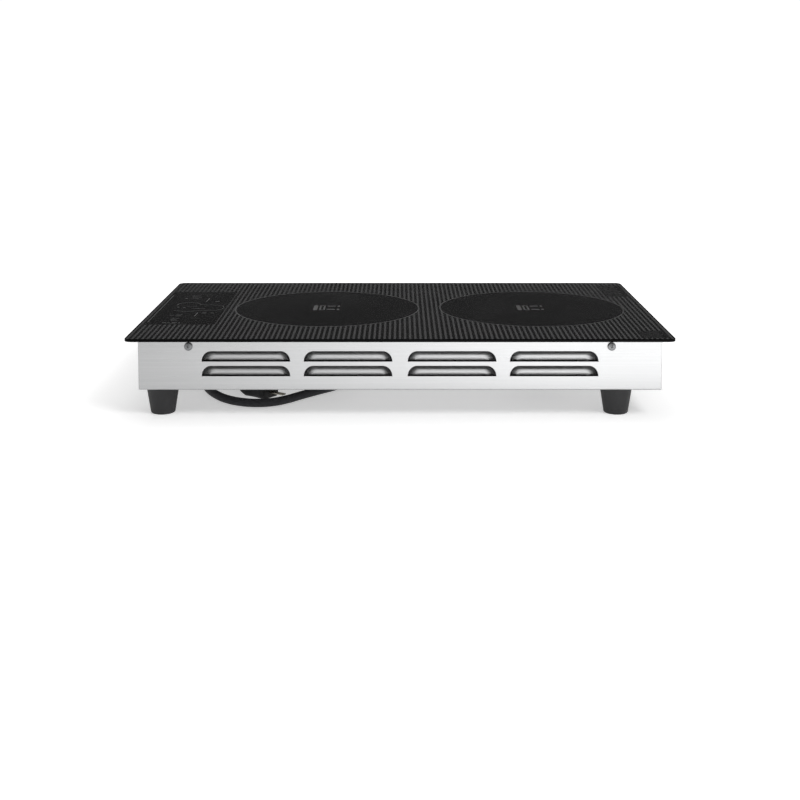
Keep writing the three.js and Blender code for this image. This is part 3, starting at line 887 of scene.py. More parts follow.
@dataclass
class Plug:
    """The moulded plug, which lies on its side: two flat blades and a round earth pin."""

    nose: tuple[float, float, float] = (-0.147, -0.083, 0.013)
    heading: float = math.radians(-35)
    body: tuple[float, float, float] = (42 * MM, 25.4 * MM, 26 * MM)
    blade: tuple[float, float, float] = (19 * MM, 6.3 * MM, 1.5 * MM)
    spacing: float = 6.35 * MM
    earth_offset: float = 8.2 * MM

    def _place(self) -> Matrix:
        """Returns the matrix from the plug's own frame, whose +X leads out of its nose."""
        return at(*self.nose) @ turn(self.heading)

    def _moulding(self) -> bmesh.types.BMesh:
        """Makes the body: waisted for the fingers, with grip ribs and a tapered tail."""
        long, wide, high = self.body
        shape = bmesh.new()
        bmesh.ops.create_cube(shape, size=1.0, matrix=at(-long / 2, 0, 0) @ Matrix.Diagonal((long, wide, high, 1)))
        along = [e for e in shape.edges if abs((e.verts[1].co - e.verts[0].co).normalized().x) > 0.9]
        bevelled(shape, along, 3.4 * MM, 6)
        along = [e for e in shape.edges if abs((e.verts[1].co - e.verts[0].co).normalized().x) > 0.9]
        bmesh.ops.subdivide_edges(shape, edges=along, cuts=13, use_grid_fill=True)
        for vert in shape.verts:
            share = -vert.co.x / long
            waist = 1.0 - 0.13 * math.sin(math.pi * min(max((share - 0.12) / 0.76, 0.0), 1.0)) ** 2
            shrink = 1.0 - 0.3 * max(share - 0.72, 0.0) / 0.28
            vert.co.y *= waist * shrink
            vert.co.z *= shrink if share > 0.72 else 1.0
        bevelled(shape, sharp(shape, 1.0), 1.4 * MM, 3)
        return shape

    def _tail(self) -> bmesh.types.BMesh:
        """Makes the ribbed tail that the cord comes out of."""
        profile = [(0.0, -2 * MM)]
        for rib in range(5):
            radius, start = (8.4 - 0.5 * rib) * MM, (-1.5 + 3.4 * rib) * MM
            profile += [(radius, start), (radius, start + 2.2 * MM), (radius - 1.0 * MM, start + 2.5 * MM),
                        (radius - 1.0 * MM, start + 3.2 * MM)]
        profile += [(5.6 * MM, 15.7 * MM), (0.0, 15.7 * MM)]
        return turned(profile, 40)

    def build(self) -> list[bpy.types.Object]:
        """Makes the moulding and the metal contacts, and returns them."""
        long = self.body[0]
        place = self._place()
        moulding = bmesh.new()
        absorb(moulding, self._moulding(), place)
        absorb(moulding, self._tail(), place @ at(-long, 0, 0) @ turn(-math.pi / 2, "Y"))
        for side in (-1, 1):
            for rib in range(5):
                grip = block(1.3 * MM, 11 * MM, 0.9 * MM, 0.4 * MM)
                spot = at((-12 - 3.4 * rib) * MM, 0, side * (self.body[2] / 2 - 0.3 * MM) - 0.3 * MM)
                absorb(moulding, grip, place @ spot)
        metal = bmesh.new()
        reach, wide, thick = self.blade
        for side in (-1, 1):
            blade = block(reach + 2 * MM, wide, thick, 0.35 * MM, 3)
            absorb(metal, blade, place @ at(reach / 2 - 1 * MM, 0, side * self.spacing - thick / 2))
        pin = turned([(0, -1 * MM), (2.4 * MM, -1 * MM), (2.4 * MM, 18 * MM), *arc((0.0, 18 * MM), 2.4 * MM, 0, 90, 8)], 28)
        absorb(metal, pin, place @ at(0, self.earth_offset, 0) @ turn(math.pi / 2, "Y"))
        contacts = finished("plug_contacts", metal, BLADE_METAL)
        return [finished("plug_moulding", moulding, PLASTIC, stands_for=["plug"], smooth=40), contacts]


# ---------------------------------------------------------------------------------------------
# Glass top
# ---------------------------------------------------------------------------------------------


@dataclass
class GlassTop:
    """The glass with its printed screen, zone rings, centre marks and touch controls."""

    corner: float = 8 * MM
    rim: float = 0.5 * MM
    ink_high: float = 0.05 * MM
    ring_radius: float = 110.5 * MM
    ring_wide: float = 1.6 * MM
    zone_radius: float = 108.6 * MM
    controls: tuple = ((-289 * MM, -99.5 * MM), (-209 * MM, 107.5 * MM))
    notes: tuple = (((259 * MM, 76 * MM), (287 * MM, 155 * MM)), ((259 * MM, -170 * MM), (287 * MM, -132 * MM)))
    slider: tuple = (
        (-271, 18), (-270, 28), (-262, 35), (-249, 33), (-242, 20.5), (-222, 18), (-214.5, 12), (-212, 0),
        (-214.5, -11), (-222, -16.5), (-242, -18), (-252, -22.5), (-262, -20), (-270, -15),
    )
    symbols: tuple = (
        (-239, 40, -238.4, 63, 1.1), (-239.2, -51, -238.6, -29, 1.1), (-227.5, 42.5, -223.5, 42.5, 2.2),
        (-232.6, -32, -228.8, -32, 2.2), (-223, -32, -219.5, -32, 1.2), (-267.5, 61, -266.5, 63, 2.4),
        (-262, 80, -252, 80, 1.0), (-261, 75, -256, 75, 1.0), (-260, 70, -250, 70, 1.4), (-259, 62, -252, 62, 1.2),
        (-268.5, 5, -267, 5, 1.8), (-261, 2, -259, 2, 1.4), (-256, 8, -246, 8, 0.9), (-250, -4, -234, -4, 0.9),
        (-268.5, -45, -265, -45, 1.8), (-261, -43, -256, -43, 1.4), (-261, -49, -256, -49, 1.4),
        (-263, -64, -255, -64, 1.1), (-263, -70, -257, -70, 1.1), (-262, -76, -254, -76, 1.1),
        (-269, -88, -265.5, -90, 1.8), (-262.8, -89.5, -261.8, -89.5, 2.6), (-258.5, -88, -254, -88, 1.6),
        (-258.5, -92, -254, -92, 1.2), (-250.5, -89.5, -249.8, -89.5, 2.2),
    )

    def _sink(self) -> float:
        """Returns the height at which a layer of ink starts, just inside the glass."""
        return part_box("glass_top")[1][2] - 0.6 * self.ink_high

    def _stroke(self, art: bmesh.types.BMesh, start: tuple, end: tuple, wide: float) -> None:
        """Draws a line of ink with round ends from one point to another."""
        run = Vector((end[0] - start[0], end[1] - start[1]))
        line = block(run.length + wide, wide, self.ink_high)
        bevelled(line, upright(line), 0.49 * wide, 3)
        centre = ((start[0] + end[0]) / 2, (start[1] + end[1]) / 2)
        absorb(art, line, at(*centre, self._sink()) @ turn(math.atan2(run.y, run.x)))

    def _outline(self, art: bmesh.types.BMesh, corners: Sequence[tuple[float, float]], wide: float) -> None:
        """Draws a line of ink through a row of points."""
        for start, end in zip(corners, corners[1:]):
            self._stroke(art, start, end, wide)

    def _circle(self, art: bmesh.types.BMesh, centre: tuple, radius: float, wide: float) -> None:
        """Draws a ring of ink round a centre."""
        absorb(art, ring(radius, wide, self.ink_high, 128), at(*centre, self._sink()))

    def _zone(self, side: Side, x: float) -> None:
        """Draws one zone's ring and the mark at its middle: a target of bars, for placing a pan."""
        art = bmesh.new()
        self._circle(art, (x, 0), self.ring_radius, self.ring_wide)
        finished(f"zone_ring_{side.value}", art, Ink("zone_ring_ink", level=0.055))
        mark = bmesh.new()
        self._stroke(mark, (x - 14.4 * MM, -12 * MM), (x - 14.4 * MM, 14 * MM), 5.0 * MM)
        left, right, front, rear = x - 8.6 * MM, x - 3.8 * MM, -13 * MM, 15 * MM
        self._outline(mark, [(left, front), (right, front), (right, rear), (left, rear), (left, front)], 2 * MM)
        for y in (-9 * MM, 11 * MM):
            self._stroke(mark, (x + 1.5 * MM, y), (x + 7.5 * MM, y), 4.6 * MM)
            self._stroke(mark, (x + 13 * MM, y - 2 * MM), (x + 13 * MM, y + 2 * MM), 3.2 * MM)
        finished(f"zone_mark_{side.value}", mark, Ink("zone_mark_ink", level=0.09))

    def _controls(self) -> None:
        """Draws the touch controls: a line along the edge, a slider outline and plain symbols."""
        art = bmesh.new()
        self._stroke(art, (-286.8 * MM, -86 * MM), (-286.8 * MM, 84 * MM), 1.0 * MM)
        self._outline(art, [(x * MM, y * MM) for x, y in self.slider], 0.8 * MM)
        for x, y, end_x, end_y, wide in self.symbols:
            self._stroke(art, (x * MM, y * MM), (end_x * MM, end_y * MM), wide * MM)
        finished("touch_symbols", art, Ink("touch_ink", level=0.1))

    def _notes(self) -> None:
        """Draws plain rows of dashes where small notes stand at the right-hand corners."""
        art = bmesh.new()
        for low, high in self.notes:
            rows = int((high[1] - low[1]) / (5.5 * MM))
            for row in range(rows):
                y = low[1] + (row + 0.8) * 5.5 * MM
                split = low[0] + (9 + 5 * math.sin(2.4 * row)) * MM
                end = high[0] - (5 + 2 * math.sin(1.7 * row + 1)) * MM
                self._stroke(art, (low[0] + 3 * MM, y), (split, y), 1.3 * MM)
                self._stroke(art, (split + 3 * MM, y), (end, y), 1.3 * MM)
        finished("corner_dashes", art, Ink("note_ink", level=0.05))

    def build(self, zones: dict[Side, float]) -> None:
        """Makes the glass and everything printed on it.

        Args:
            zones: each zone's centre along X.
        """
        low, high = (Vector(corner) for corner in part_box("glass_top"))
        size = high - low
        half = (size.x / 2, size.y / 2)
        look = PrintedGlass(zones=tuple(zones.values()), zone_radius=self.zone_radius,
                            patches=(self.controls, *self.notes), half_size=half)
        shape = bmesh.new()
        absorb(shape, plate(size.x, size.y, size.z, self.corner, self.rim, 12), at(0, 0, low.z))
        finished("glass_plate", shape, look, stands_for=["glass_top"])
        for side, x in zones.items():
            self._zone(side, x)
        self._controls()
        self._notes()


# ---------------------------------------------------------------------------------------------
# Housing
# ---------------------------------------------------------------------------------------------


@dataclass
class Louver:
    """One air scoop pressed into a wall, with its open slot along the bottom."""

    long: float = 94.8 * MM
    high: float = 11 * MM
    deep: float = 8 * MM
    corner: float = 10 * MM
    lip: float = 0.7 * MM
    sheet: float = 0.7 * MM
    steps: int = 10
    shoulder: float = 0.34
    flare: float = 0.5 * MM

    def arch(self, grow: float = 0.0, points: int = 9) -> list[tuple[float, float]]:
        """Returns the outline over the top, from its left foot to its right foot.

        Args:
            grow: how far outside the scoop's own outline it runs.
            points: how many there are round each corner.
        """
        reach, rise = self.corner + grow, self.high + grow
        straight = self.long / 2 - self.corner
        quarter = [(math.cos(math.pi / 2 * i / points) * reach, math.sin(math.pi / 2 * i / points) * rise)
                   for i in range(points + 1)]
        right = [(straight + x, z) for x, z in quarter]
        return [(-x, z) for x, z in right] + right[::-1]

    def opening(self, wall: float) -> bmesh.types.BMesh:
        """Makes the cutter for the hole in the wall, a little larger than the scoop's mouth."""
        shape = bmesh.new()
        verts = [shape.verts.new((x, -4 * wall, z)) for x, z in self.arch(self.lip)]
        face = shape.faces.new(verts)
        grown = bmesh.ops.extrude_face_region(shape, geom=[face], use_keep_orig=True)
        moved = [v for v in grown["geom"] if isinstance(v, bmesh.types.BMVert)]
        bmesh.ops.translate(shape, vec=(0, 8 * wall, 0), verts=moved)
        bmesh.ops.recalc_face_normals(shape, faces=shape.faces)
        return shape

    def scoop(self) -> bmesh.types.BMesh:
        """Makes the pressed shell: a rolled lip, a round shoulder and a wall down to the slot."""
        shape = bmesh.new()
        rows = [(self.lip, -0.02 * MM, 1.0), (0.55 * self.lip, 0.1 * MM, 1.0), (0.2 * self.lip, 0.3 * MM, 1.0),
                (0.0, 0.7 * MM, 1.0)]
        for step in range(1, self.steps + 1):
            angle = math.pi / 2 * step / self.steps
            inward = 0.7 * MM + (self.deep - 0.7 * MM) * math.sin(angle) ** 0.9
            rows.append((0.0, inward, self.shoulder + (1 - self.shoulder) * max(math.cos(angle), 0.0) ** 0.9))
        for step in range(1, self.steps + 1):
            share = step / self.steps
            rows.append((0.0, self.deep - self.flare * share**2, self.shoulder * (1 - share)))
        lines = []
        for grow, depth, rise in rows:
            line = []
            for x, z in self.arch(grow):
                inward = math.copysign(min(self.corner, abs(x)) * (1 - rise), x)
                line.append(shape.verts.new((x - inward, depth, z * rise)))
            lines.append(line)
        for upper, lower in zip(lines, lines[1:]):
            edges = [shape.edges.new((a, b)) for line in (upper, lower) for a, b in zip(line, line[1:])
                     if not shape.edges.get((a, b))]
            known = {e for e in edges}
            for line in (upper, lower):
                known |= {shape.edges.get((a, b)) for a, b in zip(line, line[1:])}
            bmesh.ops.bridge_loops(shape, edges=list(known))
        bmesh.ops.remove_doubles(shape, verts=shape.verts, dist=0.02 * MM)
        bmesh.ops.recalc_face_normals(shape, faces=shape.faces)
        return shape


@dataclass
class Housing:
    """The louvred stainless pan."""

    wall: float = 1.0 * MM
    bend: float = 1.3 * MM
    front: tuple[float, ...] = (-166 * MM, -56 * MM, 56 * MM, 166 * MM)
    rear: tuple[float, ...] = (-56 * MM, 56 * MM, 166 * MM)
    rows: tuple[float, ...] = (45 * MM, 61 * MM)
    louver: Louver = field(default_factory=Louver)
    gland_hole: float = 8.1 * MM
    intake_radius: float = 35 * MM
    slot_pitch: float = 9.4 * MM
    slot_wide: float = 4.4 * MM

    def _shell(self, size: Vector) -> bmesh.types.BMesh:
        """Makes the open pan with bent corners, standing on Z = 0."""
        shape = block(size.x, size.y, size.z)
        lid = [f for f in shape.faces if f.normal.z > 0.9]
        bmesh.ops.delete(shape, geom=lid, context="FACES_ONLY")
        folds = [e for e in shape.edges if len(e.link_faces) == 2]
        bevelled(shape, folds, self.bend, 4)
        bmesh.ops.recalc_face_normals(shape, faces=shape.faces)
        if sum((f.calc_center_median() - Vector((0, 0, size.z / 2))).dot(f.normal) for f in shape.faces) < 0:
            bmesh.ops.reverse_faces(shape, faces=shape.faces)
        bmesh.ops.solidify(shape, geom=shape.faces[:], thickness=self.wall)
        bmesh.ops.recalc_face_normals(shape, faces=shape.faces)
        return shape

    def _louver_places(self, size: Vector) -> list[Matrix]:
        """Returns where each louver's lower middle lies on the walls."""
        places = []
        for facing, xs in ((Facing.FRONT, self.front), (Facing.REAR, self.rear)):
            for x in xs:
                for z in self.rows:
                    side = -1 if facing is Facing.FRONT else 1
                    places.append(at(x, side * size.y / 2, z) @ turn(facing.value))
        return places

    def _holes(self, places: list[Matrix], size: Vector, fans: Sequence[Vector]) -> bmesh.types.BMesh:
        """Makes one cutter for every hole: louver mouths, intake slots and the gland's hole."""
        cutter = bmesh.new()
        for place in places:
            absorb(cutter, self.louver.opening(self.wall), place)
        for fan in fans:
            for row in range(-3, 4):
                offset = row * self.slot_pitch
                slot = block(2 * math.sqrt(self.intake_radius**2 - offset**2), self.slot_wide, 8 * self.wall)
                bevelled(slot, upright(slot), 0.48 * self.slot_wide, 5)
                absorb(cutter, slot, at(fan.x, fan.y + offset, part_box("housing_pan")[0][2] - 4 * self.wall))
        gland = middle("cord_gland")
        bore = turned([(0, -5 * MM), (self.gland_hole, -5 * MM), (self.gland_hole, 5 * MM), (0, 5 * MM)], 48)
        absorb(cutter, bore, at(gland.x, size.y / 2, gland.z) @ turn(math.pi / 2, "X"))
        return cutter

    def build(self) -> None:
        """Makes the pan and presses its louvers."""
        low, high = (Vector(corner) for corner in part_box("housing_pan"))
        size = high - low
        shell = bmesh.new()
        absorb(shell, self._shell(size), at(0, 0, low.z))
        places = self._louver_places(size)
        fans = [middle(f"fan_rotor_{side.value}") for side in Side]
        shell = carved(shell, self._holes(places, size, fans))
        for place in places:
            scoop = self.louver.scoop()
            bmesh.ops.solidify(scoop, geom=scoop.faces[:], thickness=-self.louver.sheet)
            absorb(shell, scoop, place)
        finished("louvred_housing", shell, STEEL, stands_for=["housing_pan"], smooth=40)


@dataclass
class Feet:
    """Four tapered rubber feet, each with its screw in a recess."""

    fillet: float = 1.8 * MM
    recess: float = 6.5 * MM

    def _profile(self, top: float, wide: float, narrow: float) -> list[tuple[float, float]]:
        """Returns a foot's section.

        Args:
            top: its height.
            wide: its radius at the top.
            narrow: its radius at the bottom.
        """
        lean = math.degrees(math.atan2(wide - narrow, top))
        round_off = arc((narrow - self.fillet, self.fillet), self.fillet, -90, -lean, 8)
        shoulder = arc((wide - 0.9 * MM, top - 0.8 * MM), 0.8 * MM, -lean, 90, 4)
        return [(self.recess, 10 * MM), (self.recess, 0.8 * MM), (self.recess + 0.8 * MM, 0.0), *round_off,
                *shoulder, (3 * MM, top), (3 * MM, 10 * MM), (self.recess, 10 * MM)]

    def build(self) -> None:
        """Makes the four feet."""
        for corner in ("front_left", "rear_left", "front_right", "rear_right"):
            low, high = (Vector(point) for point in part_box(f"foot_{corner}"))
            centre = (low + high) / 2
            shape = bmesh.new()
            absorb(shape, turned(self._profile(high.z, (high.x - low.x) / 2, 13.4 * MM), 72), at(centre.x, centre.y, 0))
            finished(f"rubber_foot_{corner}", shape, RUBBER, stands_for=[f"foot_{corner}"], smooth=50)


@dataclass
class CaseScrews:
    """Pan-head screws with a cross recess, in the upper part of the walls."""

    radius: float = 4.45 * MM
    high: float = 2.6 * MM
    places: dict[str, Facing] = field(default_factory=lambda: {
        "front_left": Facing.FRONT, "front_right": Facing.FRONT, "rear_left": Facing.REAR,
        "rear_right": Facing.REAR, "left_end": Facing.LEFT, "right_end": Facing.RIGHT,
    })

    def _head(self) -> bmesh.types.BMesh:
        """Makes a screw along +Z, its head above Z = 0, and cuts the cross."""
        edge = 1.1 * MM
        rim = arc((self.radius - edge, self.high - 0.35 * MM - edge), edge, 0, 78, 6)
        body = turned([(0, -6.5 * MM), (1.9 * MM, -6.5 * MM), (1.9 * MM, 0.05 * MM), (self.radius - 0.3 * MM, 0.05 * MM),
                       (self.radius, 0.35 * MM), *rim, (1.6 * MM, self.high - 0.06 * MM), (0, self.high)], 48)
        for angle in (0.0, math.pi / 2):
            slot = block(4.6 * MM, 1.0 * MM, 4 * MM)
            for vert in slot.verts:
                if vert.co.z < MM:
                    vert.co.x *= 0.35
                    vert.co.y *= 0.6
            bmesh.ops.transform(slot, matrix=at(0, 0, self.high - 1.9 * MM) @ turn(angle), verts=slot.verts)
            body = carved(body, slot)
        return body

    def build(self) -> None:
        """Makes the six screws."""
        for name, facing in self.places.items():
            low, high = (Vector(point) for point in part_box(f"case_screw_{name}"))
            centre = (low + high) / 2
            outward = turn(facing.value) @ Vector((0, -1, 0))
            extent = (high - low) / 2
            face = abs(outward.x) * extent.x + abs(outward.y) * extent.y - self.high
            wall = centre + outward * face
            shape = bmesh.new()
            place = at(*wall) @ turn(facing.value) @ turn(math.pi / 2, "X") @ turn(0.5 + 0.3 * centre.x / 0.1)
            absorb(shape, self._head(), place)
            finished(f"pan_head_{name}", shape, PLATED, stands_for=[f"case_screw_{name}"], smooth=28)


@dataclass
class RimParts:
    """The sealing band under the glass and the steel frame that carries it."""

    seal_wide: float = 12 * MM
    seal_corner: float = 6 * MM
    flange: float = 14 * MM
    fold: float = 0.9 * MM

    def _band(self, node: str, corner: float, wide: float, edge: float) -> bmesh.types.BMesh:
        """Makes a flat band as large as a node, its inside a plain rounded rectangle."""
        low, high = (Vector(point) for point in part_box(node))
        size = high - low
        outer = bmesh.new()
        absorb(outer, plate(size.x, size.y, size.z, corner, edge, 8), at(0, 0, low.z))
        inner = bmesh.new()
        hole = plate(size.x - 2 * wide, size.y - 2 * wide, size.z + 4 * MM, max(corner - wide, 1 * MM), 0.0, 6)
        absorb(inner, hole, at(0, 0, low.z - 2 * MM))
        return carved(outer, inner)

    def build(self) -> None:
        """Makes the seal and the frame."""
        finished("sealing_band", self._band("glass_seal", self.seal_corner, self.seal_wide, 0.3 * MM), SILICONE,
                 stands_for=["glass_seal"])
        low, high = (Vector(point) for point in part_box("glass_frame"))
        size = high - low
        thick = 1.2 * MM
        frame = bmesh.new()
        top = plate(size.x, size.y, thick, 1.2 * MM, 0.0, 4)
        hole = plate(size.x - 2 * self.flange, size.y - 2 * self.flange, 4 * thick, 3 * MM, 0.0, 6)
        bmesh.ops.translate(hole, vec=(0, 0, -1.5 * thick), verts=hole.verts)
        absorb(frame, carved(top, hole), at(0, 0, high.z - thick))
        wall = plate(size.x, size.y, size.z - thick, 1.2 * MM, 0.0, 4)
        room = plate(size.x - 2 * thick, size.y - 2 * thick, size.z + 4 * thick, 0.6 * MM, 0.0, 4)
        bmesh.ops.translate(room, vec=(0, 0, -2 * thick), verts=room.verts)
        absorb(frame, carved(wall, room), at(0, 0, low.z))
        finished("carrying_frame", frame, STEEL, stands_for=["glass_frame"])


# ---------------------------------------------------------------------------------------------
# Inside
# ---------------------------------------------------------------------------------------------


def wire(points: Sequence[tuple[float, float, float]], radius: float, sides: int = 2) -> bmesh.types.BMesh:
    """Makes a closed round wire along a line of points.

    Args:
        points: the wire's own line.
        radius: half its thickness.
        sides: the extra facets in each quarter of its section.

    Returns:
        The new shape.
    """
    data = bpy.data.curves.new("wire", "CURVE")
    data.dimensions = "3D"
    data.bevel_depth = radius
    data.bevel_resolution = sides
    data.use_fill_caps = True
    spline = data.splines.new("POLY")
    spline.points.add(len(points) - 1)
    for point, place in zip(spline.points, points):
        point.co = (*place, 1.0)
    item = bpy.data.objects.new("wire", data)
    bpy.context.scene.collection.objects.link(item)
    graph = bpy.context.evaluated_depsgraph_get()
    shape = bmesh.new()
    shape.from_mesh(item.evaluated_get(graph).to_mesh())
    bpy.data.objects.remove(item)
    bpy.data.curves.remove(data)
    bmesh.ops.remove_doubles(shape, verts=shape.verts, dist=1e-6)
    bmesh.ops.recalc_face_normals(shape, faces=shape.faces)
    return shape


@dataclass
class HeatingZone:
    """One induction unit under the glass: bracket, ferrites, former, winding, mica and sensor."""

    side: Side
    turns: int = 20
    winding: tuple[float, float] = (25.6 * MM, 86.4 * MM)
    strand: float = 1.35 * MM
    winding_high: float = 5.8 * MM
    bar: tuple[float, float, float] = (56 * MM, 14 * MM, 5 * MM)

    def _bracket(self) -> bmesh.types.BMesh:
        """Makes the plate that carries the coil, with its two folded legs."""
        low, high = (Vector(point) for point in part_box(f"coil_bracket_{self.side.value}"))
        size, centre = high - low, (low + high) / 2
        sheet = 1.5 * MM
        shape = bmesh.new()
        absorb(shape, block(size.x, size.y, sheet, 0.3 * MM), at(centre.x, centre.y, high.z - sheet))
        for side in (-1, 1):
            leg = block(sheet, size.y, size.z - 0.6 * sheet, 0.3 * MM)
            absorb(shape, leg, at(centre.x + side * (size.x - sheet) / 2, centre.y, low.z))
        return shape

    def _former(self) -> bmesh.types.BMesh:
        """Makes the plastic former: a ribbed disc with a raised rim and hub."""
        low, high = (Vector(point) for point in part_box(f"coil_carrier_{self.side.value}"))
        outer, centre = (high.x - low.x) / 2, (low + high) / 2
        floor, rise = 2.2 * MM, high.z - low.z
        shape = bmesh.new()
        profile = [(18 * MM, 0), (outer, 0), (outer, rise - 0.4 * MM), (outer - 0.4 * MM, rise),
                   (outer - 2 * MM, rise), (outer - 2.4 * MM, rise - 0.4 * MM), (outer - 2.4 * MM, floor),
                   (21 * MM, floor), (21 * MM, rise - 0.4 * MM), (20.6 * MM, rise), (18.4 * MM, rise),
                   (18 * MM, rise - 0.4 * MM), (18 * MM, 0)]
        absorb(shape, turned(profile, 120), at(centre.x, centre.y, low.z))
        return shape

    def _spiral(self) -> bmesh.types.BMesh:
        """Makes the winding: one flat spiral of wire, higher than it is wide."""
        centre = middle(f"coil_winding_{self.side.value}")
        steps = 44
        inner, outer = self.winding
        points = []
        for step in range(self.turns * steps + 1):
            share = step / (self.turns * steps)
            angle = FULL_TURN * step / steps
            radius = inner + (outer - inner) * share
            points.append((radius * math.cos(angle), radius * math.sin(angle), 0.0))
        shape = wire(points, self.strand, 1)
        stretch = Matrix.Diagonal((1, 1, self.winding_high / (2 * self.strand), 1))
        whole = bmesh.new()
        absorb(whole, shape, at(*centre) @ stretch)
        return whole

    def _sensor(self) -> bmesh.types.BMesh:
        """Makes the spring-held heat sensor: a button on a stem."""
        low, high = (Vector(point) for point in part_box(f"heat_sensor_{self.side.value}"))
        centre, rise, radius = (low + high) / 2, high.z - low.z, (high.x - low.x) / 2
        profile = [(0, 0), (0.7 * radius, 0), (0.7 * radius, 0.5 * rise), (radius - 0.3 * MM, 0.5 * rise),
                   (radius, 0.55 * rise), (radius, rise - 0.8 * MM), (radius - 0.8 * MM, rise), (0, rise)]
        shape = bmesh.new()
        absorb(shape, turned(profile, 40), at(centre.x, centre.y, low.z))
        return shape

    def build(self) -> None:
        """Makes the unit's pieces."""
        name = self.side.value
        finished(f"bracket_{name}", self._bracket(), PLATED, stands_for=[f"coil_bracket_{name}"])
        finished(f"former_{name}", self._former(), PALE_PLASTIC, stands_for=[f"coil_carrier_{name}"])
        finished(f"litz_spiral_{name}", self._spiral(), COPPER, stands_for=[f"coil_winding_{name}"], smooth=60)
        finished(f"sensor_button_{name}", self._sensor(), PALE_PLASTIC, stands_for=[f"heat_sensor_{name}"])
        low, high = (Vector(point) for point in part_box(f"insulating_disc_{name}"))
        disc = bmesh.new()
        centre, outer = (low + high) / 2, (high.x - low.x) / 2
        absorb(disc, ring(outer, outer - 7 * MM, high.z - low.z, 120), at(centre.x, centre.y, low.z))
        finished(f"mica_sheet_{name}", disc, MICA, stands_for=[f"insulating_disc_{name}"])
        hub = middle(f"coil_winding_{name}")
        for number in range(1, 5):
            node = f"ferrite_bar_{name}_{number}"
            centre = middle(node)
            bar = bmesh.new()
            heading = math.atan2(centre.y - hub.y, centre.x - hub.x)
            absorb(bar, block(*self.bar, 0.6 * MM, 2), at(centre.x, centre.y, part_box(node)[0][2]) @ turn(heading))
            finished(f"ferrite_{name}_{number}", bar, FERRITE, stands_for=[node])


@dataclass
class Fan:
    """One axial fan over its intake slots: a square frame and a seven-blade rotor."""

    side: Side
    frame: float = 80 * MM
    high: float = 20 * MM
    duct: float = 38 * MM
    hub: float = 15 * MM
    blades: int = 7
    tip: float = 36.2 * MM
    blade_middle: float = 10.8 * MM
    root_pitch: float = math.radians(47)
    tip_pitch: float = math.radians(31)
    chord: float = 15.0 * MM

    def _frame(self) -> bmesh.types.BMesh:
        """Makes the square frame with its duct, screw holes and the spider that holds the motor."""
        shell = plate(self.frame, self.frame, self.high, 4 * MM, 0.6 * MM, 6)
        flare = self.duct + 1.2 * MM
        bore = turned([(0, -1 * MM), (flare, -1 * MM), (flare, 0), (self.duct, 2.4 * MM), (self.duct, 17.6 * MM),
                       (flare, self.high), (flare, self.high + 1 * MM), (0, self.high + 1 * MM)], 96)
        for x in (-1, 1):
            for y in (-1, 1):
                hole = turned([(0, -1 * MM), (2.1 * MM, -1 * MM), (2.1 * MM, 21 * MM), (0, 21 * MM)], 20)
                absorb(bore, hole, at(x * 35.5 * MM, y * 35.5 * MM, 0))
        shell = carved(shell, bore)
        for arm in range(4):
            strut = block(self.duct + 1 * MM - self.hub, 3.6 * MM, 2 * MM, 0.5 * MM)
            place = turn(arm * math.pi / 2) @ at((self.duct + self.hub) / 2, 0, 0)
            absorb(shell, strut, place)
        seat = turned([(0, 0), (self.hub - 0.4 * MM, 0), (self.hub, 0.4 * MM), (self.hub, 2 * MM), (2 * MM, 2 * MM),
                       (2 * MM, 14 * MM), (0, 14 * MM)], 56)
        absorb(shell, seat)
        return shell

    def _blade(self) -> bmesh.types.BMesh:
        """Makes one twisted and cambered blade that runs out along +X."""
        shape = bmesh.new()
        spans, chords = 8, 10
        root = self.hub - 1.2 * MM
        bmesh.ops.create_grid(shape, x_segments=spans, y_segments=chords, size=0.5)
        for vert in shape.verts:
            out, along = vert.co.x + 0.5, vert.co.y
            pitch = self.root_pitch + (self.tip_pitch - self.root_pitch) * out
            chord = self.chord * (1.0 + 0.12 * out)
            camber = 1.5 * MM * (1 - (2 * along) ** 2)
            across = chord * along
            sweep = 0.2 * out * out
            radius = root + (self.tip - root) * out
            y = across * math.cos(pitch) - camber * math.sin(pitch)
            z = across * math.sin(pitch) + camber * math.cos(pitch)
            angle = y / max(radius, 20 * MM) + sweep
            vert.co = Vector((radius * math.cos(angle), radius * math.sin(angle), z))
        bmesh.ops.recalc_face_normals(shape, faces=shape.faces)
        bmesh.ops.solidify(shape, geom=shape.faces[:], thickness=1.3 * MM)
        return shape

    def _rotor(self) -> bmesh.types.BMesh:
        """Makes the hub cup with its blades."""
        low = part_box(f"fan_rotor_{self.side.value}")[0][2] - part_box(f"fan_frame_{self.side.value}")[0][2]
        top = low + 15.6 * MM
        shape = bmesh.new()
        cup = turned([(self.hub - 1.4 * MM, low), (self.hub - 0.2 * MM, low), (self.hub, low + 0.3 * MM),
                      *arc((self.hub - 1.6 * MM, top - 1.6 * MM), 1.6 * MM, 0, 90, 6), (0, top),
                      (0, top - 1.2 * MM), (self.hub - 1.4 * MM, top - 1.2 * MM), (self.hub - 1.4 * MM, low)], 64)
        absorb(shape, cup)
        for blade in range(self.blades):
            place = turn(FULL_TURN * blade / self.blades) @ at(0, 0, self.blade_middle)
            absorb(shape, self._blade(), place)
        return shape

    def build(self) -> None:
        """Makes the frame, the rotor that turns in it and the rotor's label-free cap."""
        name = self.side.value
        centre = middle(f"fan_frame_{name}")
        place = at(centre.x, centre.y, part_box(f"fan_frame_{name}")[0][2])
        for node, body, shape in (("frame", ROOT, self._frame()), ("rotor", f"{name}_rotor", self._rotor())):
            whole = bmesh.new()
            absorb(whole, shape, place)
            finished(f"axial_{node}_{name}", whole, PLASTIC, body, [f"fan_{node}_{name}"])


